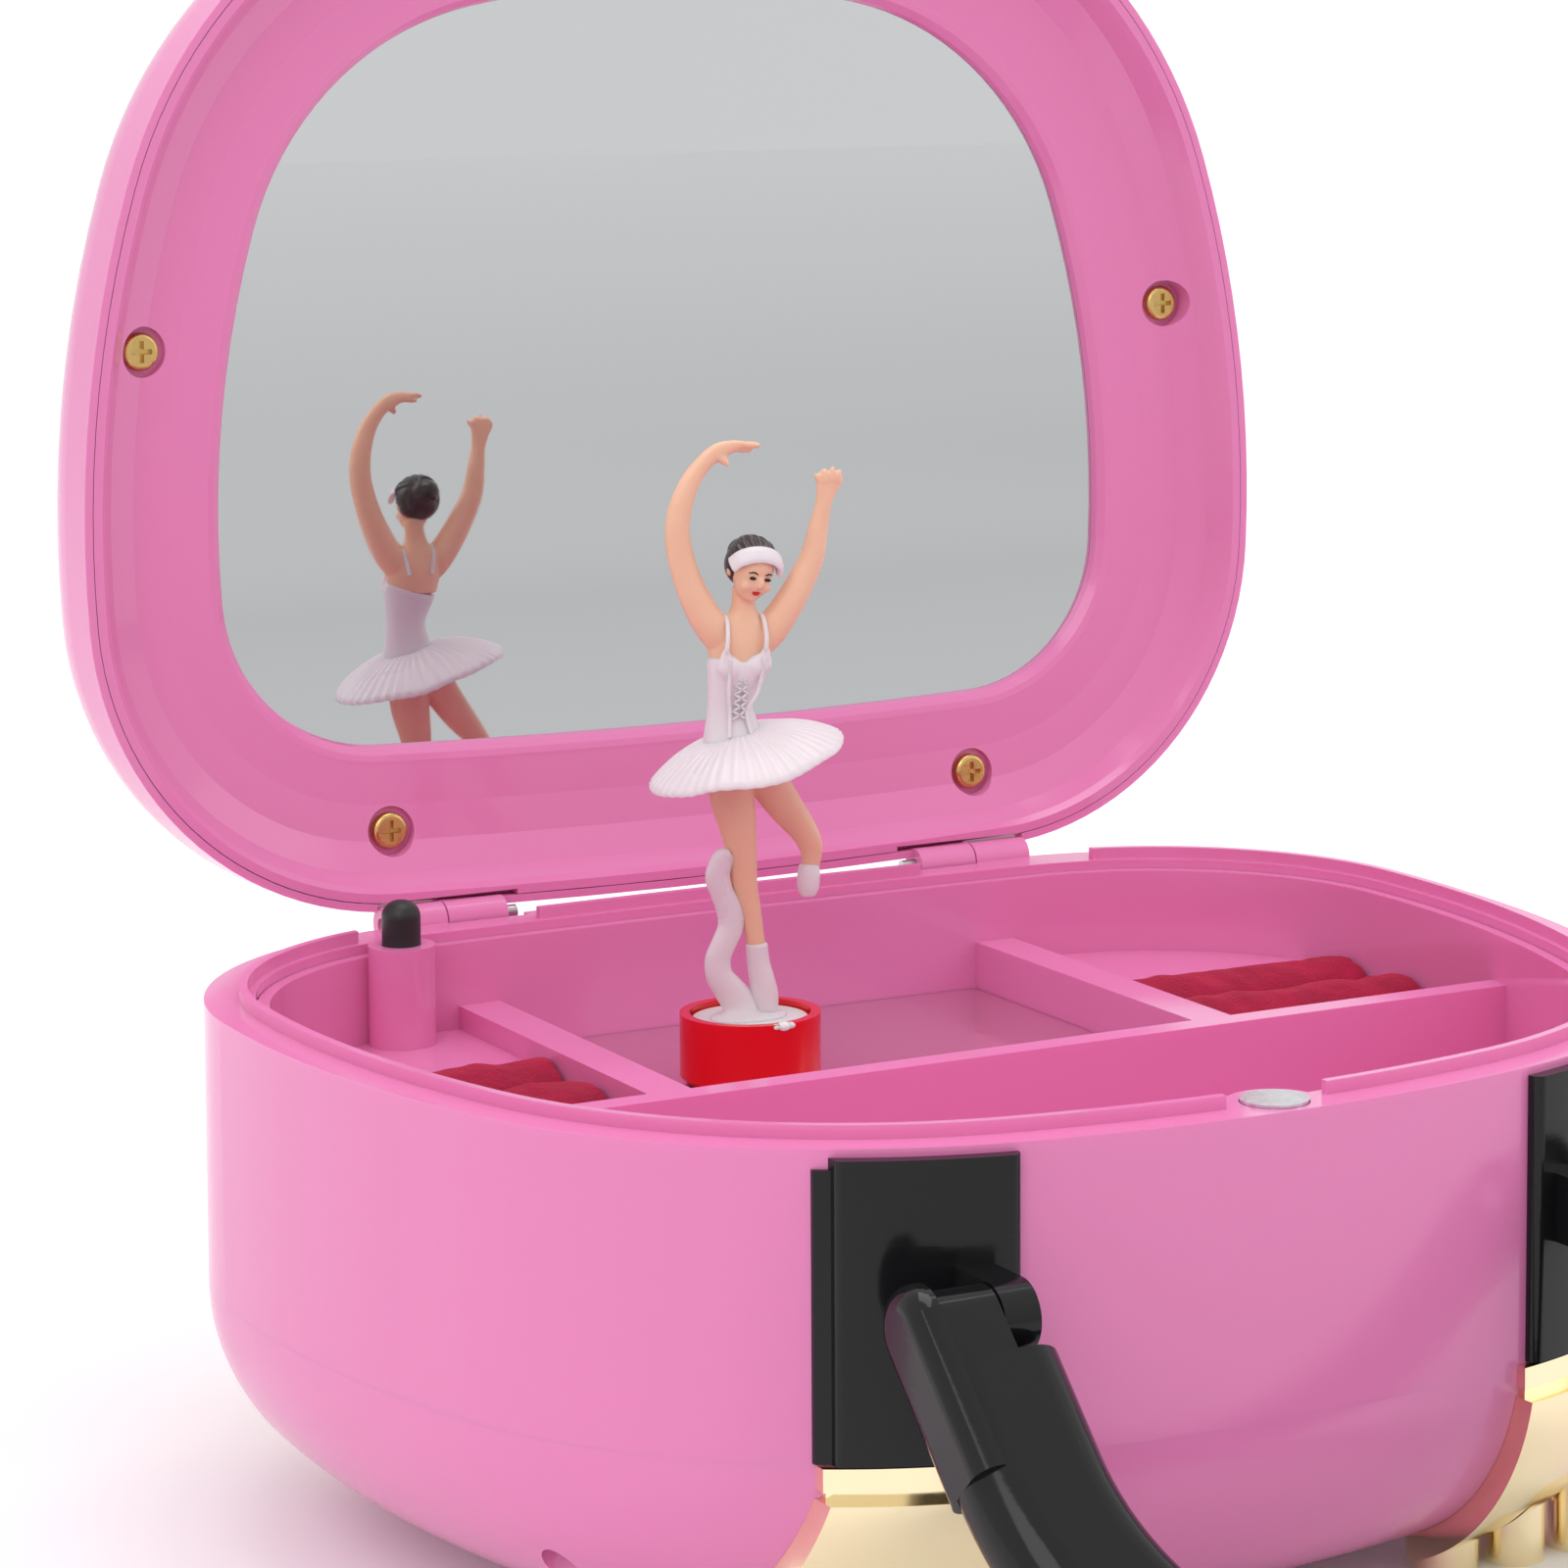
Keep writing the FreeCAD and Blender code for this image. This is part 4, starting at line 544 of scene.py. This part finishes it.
def face_pieces():
    """Simple painted doll face: brows, eyes and lips as small raised shapes."""
    eyes, lips = [], []
    for side in (-1, 1):
        eyes.append(ball_mesh((1.12 + side * 0.92, -2.44, 61.95), (0.42, 0.16, 0.22), 14, 8))
        brow = [(1.12 + side * 0.45, -2.50, 62.5, 0.08, 0.08), (1.12 + side * 0.95, -2.46, 62.68, 0.1, 0.1),
                (1.12 + side * 1.45, -2.12, 62.45, 0.06, 0.06)]
        eyes.append(tube_mesh(brow, 8, (0, 0, 1), 5))
    lips.append(ball_mesh((1.15, -2.42, 60.25), (0.55, 0.18, 0.16), 14, 8))
    lips.append(ball_mesh((1.15, -2.38, 60.02), (0.42, 0.18, 0.15), 14, 8))
    return posed_head(eyes), posed_head(lips)


def build_doll():
    doll_piece("doll_body", skin_parts(), MATERIALS["doll_skin"], 0.2, 4, "dancer_figure")
    pearl = MATERIALS["pearl_white"]
    doll_piece("doll_leotard", bodice_parts(), pearl, 0.25, 6)
    doll_piece("leotard_trim", bodice_trim(), pearl)
    doll_piece("doll_tutu", [tutu_mesh()], pearl, stands_for="dancer_tutu")
    doll_piece("doll_ribbon", ribbon_parts(), pearl, 0.25, 5, "dancer_ribbon")
    doll_piece("doll_shoes", shoe_parts(), pearl, 0.22, 4)
    doll_piece("doll_hair", hair_parts(), HAIR, 0.18, 1)
    doll_piece("doll_headband", headband_parts(), pearl)
    eyes, lips = face_pieces()
    doll_piece("doll_eyes", eyes, EYES)
    doll_piece("doll_lips", lips, LIPS)


build_doll()


def glue_beads():
    """Dried glue on the cup's rim and round the white disc."""
    wall_middle = (cup_high.x - cup_low.x) / 2 - 0.3 * MM
    top = cup_high.z - 0.3 * MM
    parts = []
    for degrees, size in ((-88, 0.95), (-82, 0.7), (-95, 0.6)):
        turn = math.radians(degrees)
        centre = Vector((DOLL.x + wall_middle * math.cos(turn), DOLL.y + wall_middle * math.sin(turn), top))
        parts.append(ball_mesh(centre, (size * MM, size * 0.7 * MM, size * 0.6 * MM)))
    points, faces = merged(parts)
    piece = mesh_piece("glue_beads", points, faces, GLUE)
    smooth(piece, 80)
    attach(piece, "dancer")


glue_beads()


# ---------------------------------------------------------------- ring cushions
def ring_cushion(node_name):
    sim_frames = 20
    cap = 0.7 * MM
    side_room, sink_room = 0.3 * MM, 0.2 * MM
    low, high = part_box(node_name)
    piece = mesh_piece(node_name.replace("ring_cushion", "velvet_rolls"), [], [])
    piece.data = NODES[node_name].data.copy()
    paint(piece, MATERIALS["red_velvet"])
    apply_modifier(piece, "REMESH", mode="VOXEL", voxel_size=0.8 * MM)
    rest = np.array([vertex.co for vertex in piece.data.vertices])
    cloth = piece.modifiers.new("cloth", "CLOTH")
    cloth.settings.use_pressure = True
    cloth.settings.uniform_pressure_force = 4
    cloth.settings.effector_weights.gravity = 0
    scene = bpy.context.scene
    for number in range(1, sim_frames + 1):
        scene.frame_set(number)
    evaluated = piece.evaluated_get(bpy.context.evaluated_depsgraph_get())
    swollen = bpy.data.meshes.new_from_object(evaluated)
    piece.modifiers.clear()
    piece.data = swollen
    scene.frame_set(1)
    centre = (low + high) / 2
    for vertex, start in zip(piece.data.vertices, rest):
        move = vertex.co - Vector(start)
        if move.length > cap:
            vertex.co = Vector(start) + move.normalized() * cap
        lump = noise.noise(vertex.co * 160) * 0.7 + noise.noise(vertex.co * 420) * 0.35
        raise_by = max(0.0, (vertex.co.z - centre.z) / (high.z - centre.z))
        vertex.co.z += lump * 0.9 * MM * raise_by
        vertex.co.x = min(max(vertex.co.x, low.x - side_room), high.x + side_room)
        vertex.co.y = min(max(vertex.co.y, low.y - side_room), high.y + side_room)
        vertex.co.z = max(vertex.co.z, low.z - sink_room)
    apply_modifier(piece, "SUBSURF", levels=1, render_levels=1)
    paint(piece, MATERIALS["red_velvet"])
    smooth(piece, 180)
    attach(piece, "base")
    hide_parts(node_name)


for cushion_node in ("left_ring_cushion", "right_ring_cushion"):
    ring_cushion(cushion_node)


# ---------------------------------------------------------------- studio
FLOOR_REACH = 60
DIMMEST_SKY, BRIGHTEST_SKY = 0.80, 0.95
LIGHT_AIM = (0, 0, 0.06)


def area_light(name, place, aim, size, power):
    data = bpy.data.lights.new(name, "AREA")
    data.shape = "RECTANGLE"
    data.size, data.size_y = size
    data.energy = power
    lamp = bpy.data.objects.new(name, data)
    lamp.location = place
    lamp.rotation_euler = (Vector(aim) - Vector(place)).to_track_quat("-Z", "Y").to_euler()
    bpy.context.scene.collection.objects.link(lamp)


def studio():
    """White table with a band of painted shade, darker grey, in front of the box and a painted glow that
    brightens it into a white background behind the box, and three soft lamps.
    """
    reach = FLOOR_REACH
    corners = [(-reach, -reach, 0), (reach, -reach, 0), (reach, reach, 0), (-reach, reach, 0)]
    floor = mesh_piece("studio_floor", corners, [(0, 1, 2, 3)])
    shader = Shader("studio floor", (0.88, 0.88, 0.88), 0.7)
    shader.body.inputs["Specular IOR Level"].default_value = 0.1
    parts = shader.node("ShaderNodeSeparateXYZ")
    shader.link(shader.coordinates.outputs["Object"], parts.inputs["Vector"])
    # Painted shade: the floor is tinted darker grey in a band in front of the box, fading back to white
    # farther forward.
    far = shader.node("ShaderNodeMath", operation="DIVIDE")
    far.inputs[0].default_value = -0.9
    shader.link(parts.outputs["Y"], far.inputs[1])
    outside_painted_shade = shader.node("ShaderNodeMath", operation="MAXIMUM")
    shader.link(shader.spread(far.outputs["Value"], 0, 1, 1, 0), outside_painted_shade.inputs[0])
    shader.link(shader.spread(parts.outputs["Y"], -0.5, -0.14, 0, 1), outside_painted_shade.inputs[1])
    shader.tint(outside_painted_shade.outputs["Value"], (0.54, 0.54, 0.545), (0.88, 0.88, 0.88))
    # Painted light: the floor glows behind the box, more the farther back it lies, so it reads as a white
    # background.
    shader.body.inputs["Emission Color"].default_value = (1, 1, 1, 1)
    painted_glow = shader.spread(parts.outputs["Y"], -0.14, 0.5, 0.0, 0.22)
    shader.link(painted_glow, shader.body.inputs["Emission Strength"])
    paint(floor, shader.material)
    world = bpy.data.worlds.new("studio")
    bpy.context.scene.world = world
    world.use_nodes = True
    tree = world.node_tree
    background = tree.nodes["Background"]
    background.inputs["Strength"].default_value = 1.0
    place = tree.nodes.new("ShaderNodeTexCoord")
    split = tree.nodes.new("ShaderNodeSeparateXYZ")
    ramp = tree.nodes.new("ShaderNodeMapRange")
    set_range(ramp, -1.0, 0.6, DIMMEST_SKY, BRIGHTEST_SKY)
    tree.links.new(place.outputs["Generated"], split.inputs["Vector"])
    tree.links.new(split.outputs["Y"], ramp.inputs["Value"])
    tree.links.new(ramp.outputs["Result"], background.inputs["Color"])
    area_light("key", (-0.9, -0.9, 1.1), LIGHT_AIM, (0.9, 0.9), 5)
    area_light("fill", (1.1, -0.7, 0.7), LIGHT_AIM, (0.7, 0.9), 1.6)
    area_light("top", (0.1, 0.1, 1.3), (0, 0, 0.05), (0.8, 0.8), 5)


studio()

CAMERA_PLACE = Vector((-0.2789, -0.4856, 0.1861))
CAMERA_TURN = (math.radians(83.638), 0.0, math.radians(-30.597))
camera_data = bpy.data.cameras.new("camera")
camera_data.sensor_width = 36
camera_data.lens = 112.85
camera_data.shift_x = -0.1624
camera_data.shift_y = -0.2091
camera_data.clip_start = 0.01
camera = bpy.data.objects.new("camera", camera_data)
camera.location = CAMERA_PLACE
camera.rotation_euler = CAMERA_TURN
bpy.context.scene.collection.objects.link(camera)
bpy.context.scene.camera = camera
bpy.context.scene.view_settings.view_transform = "Standard"
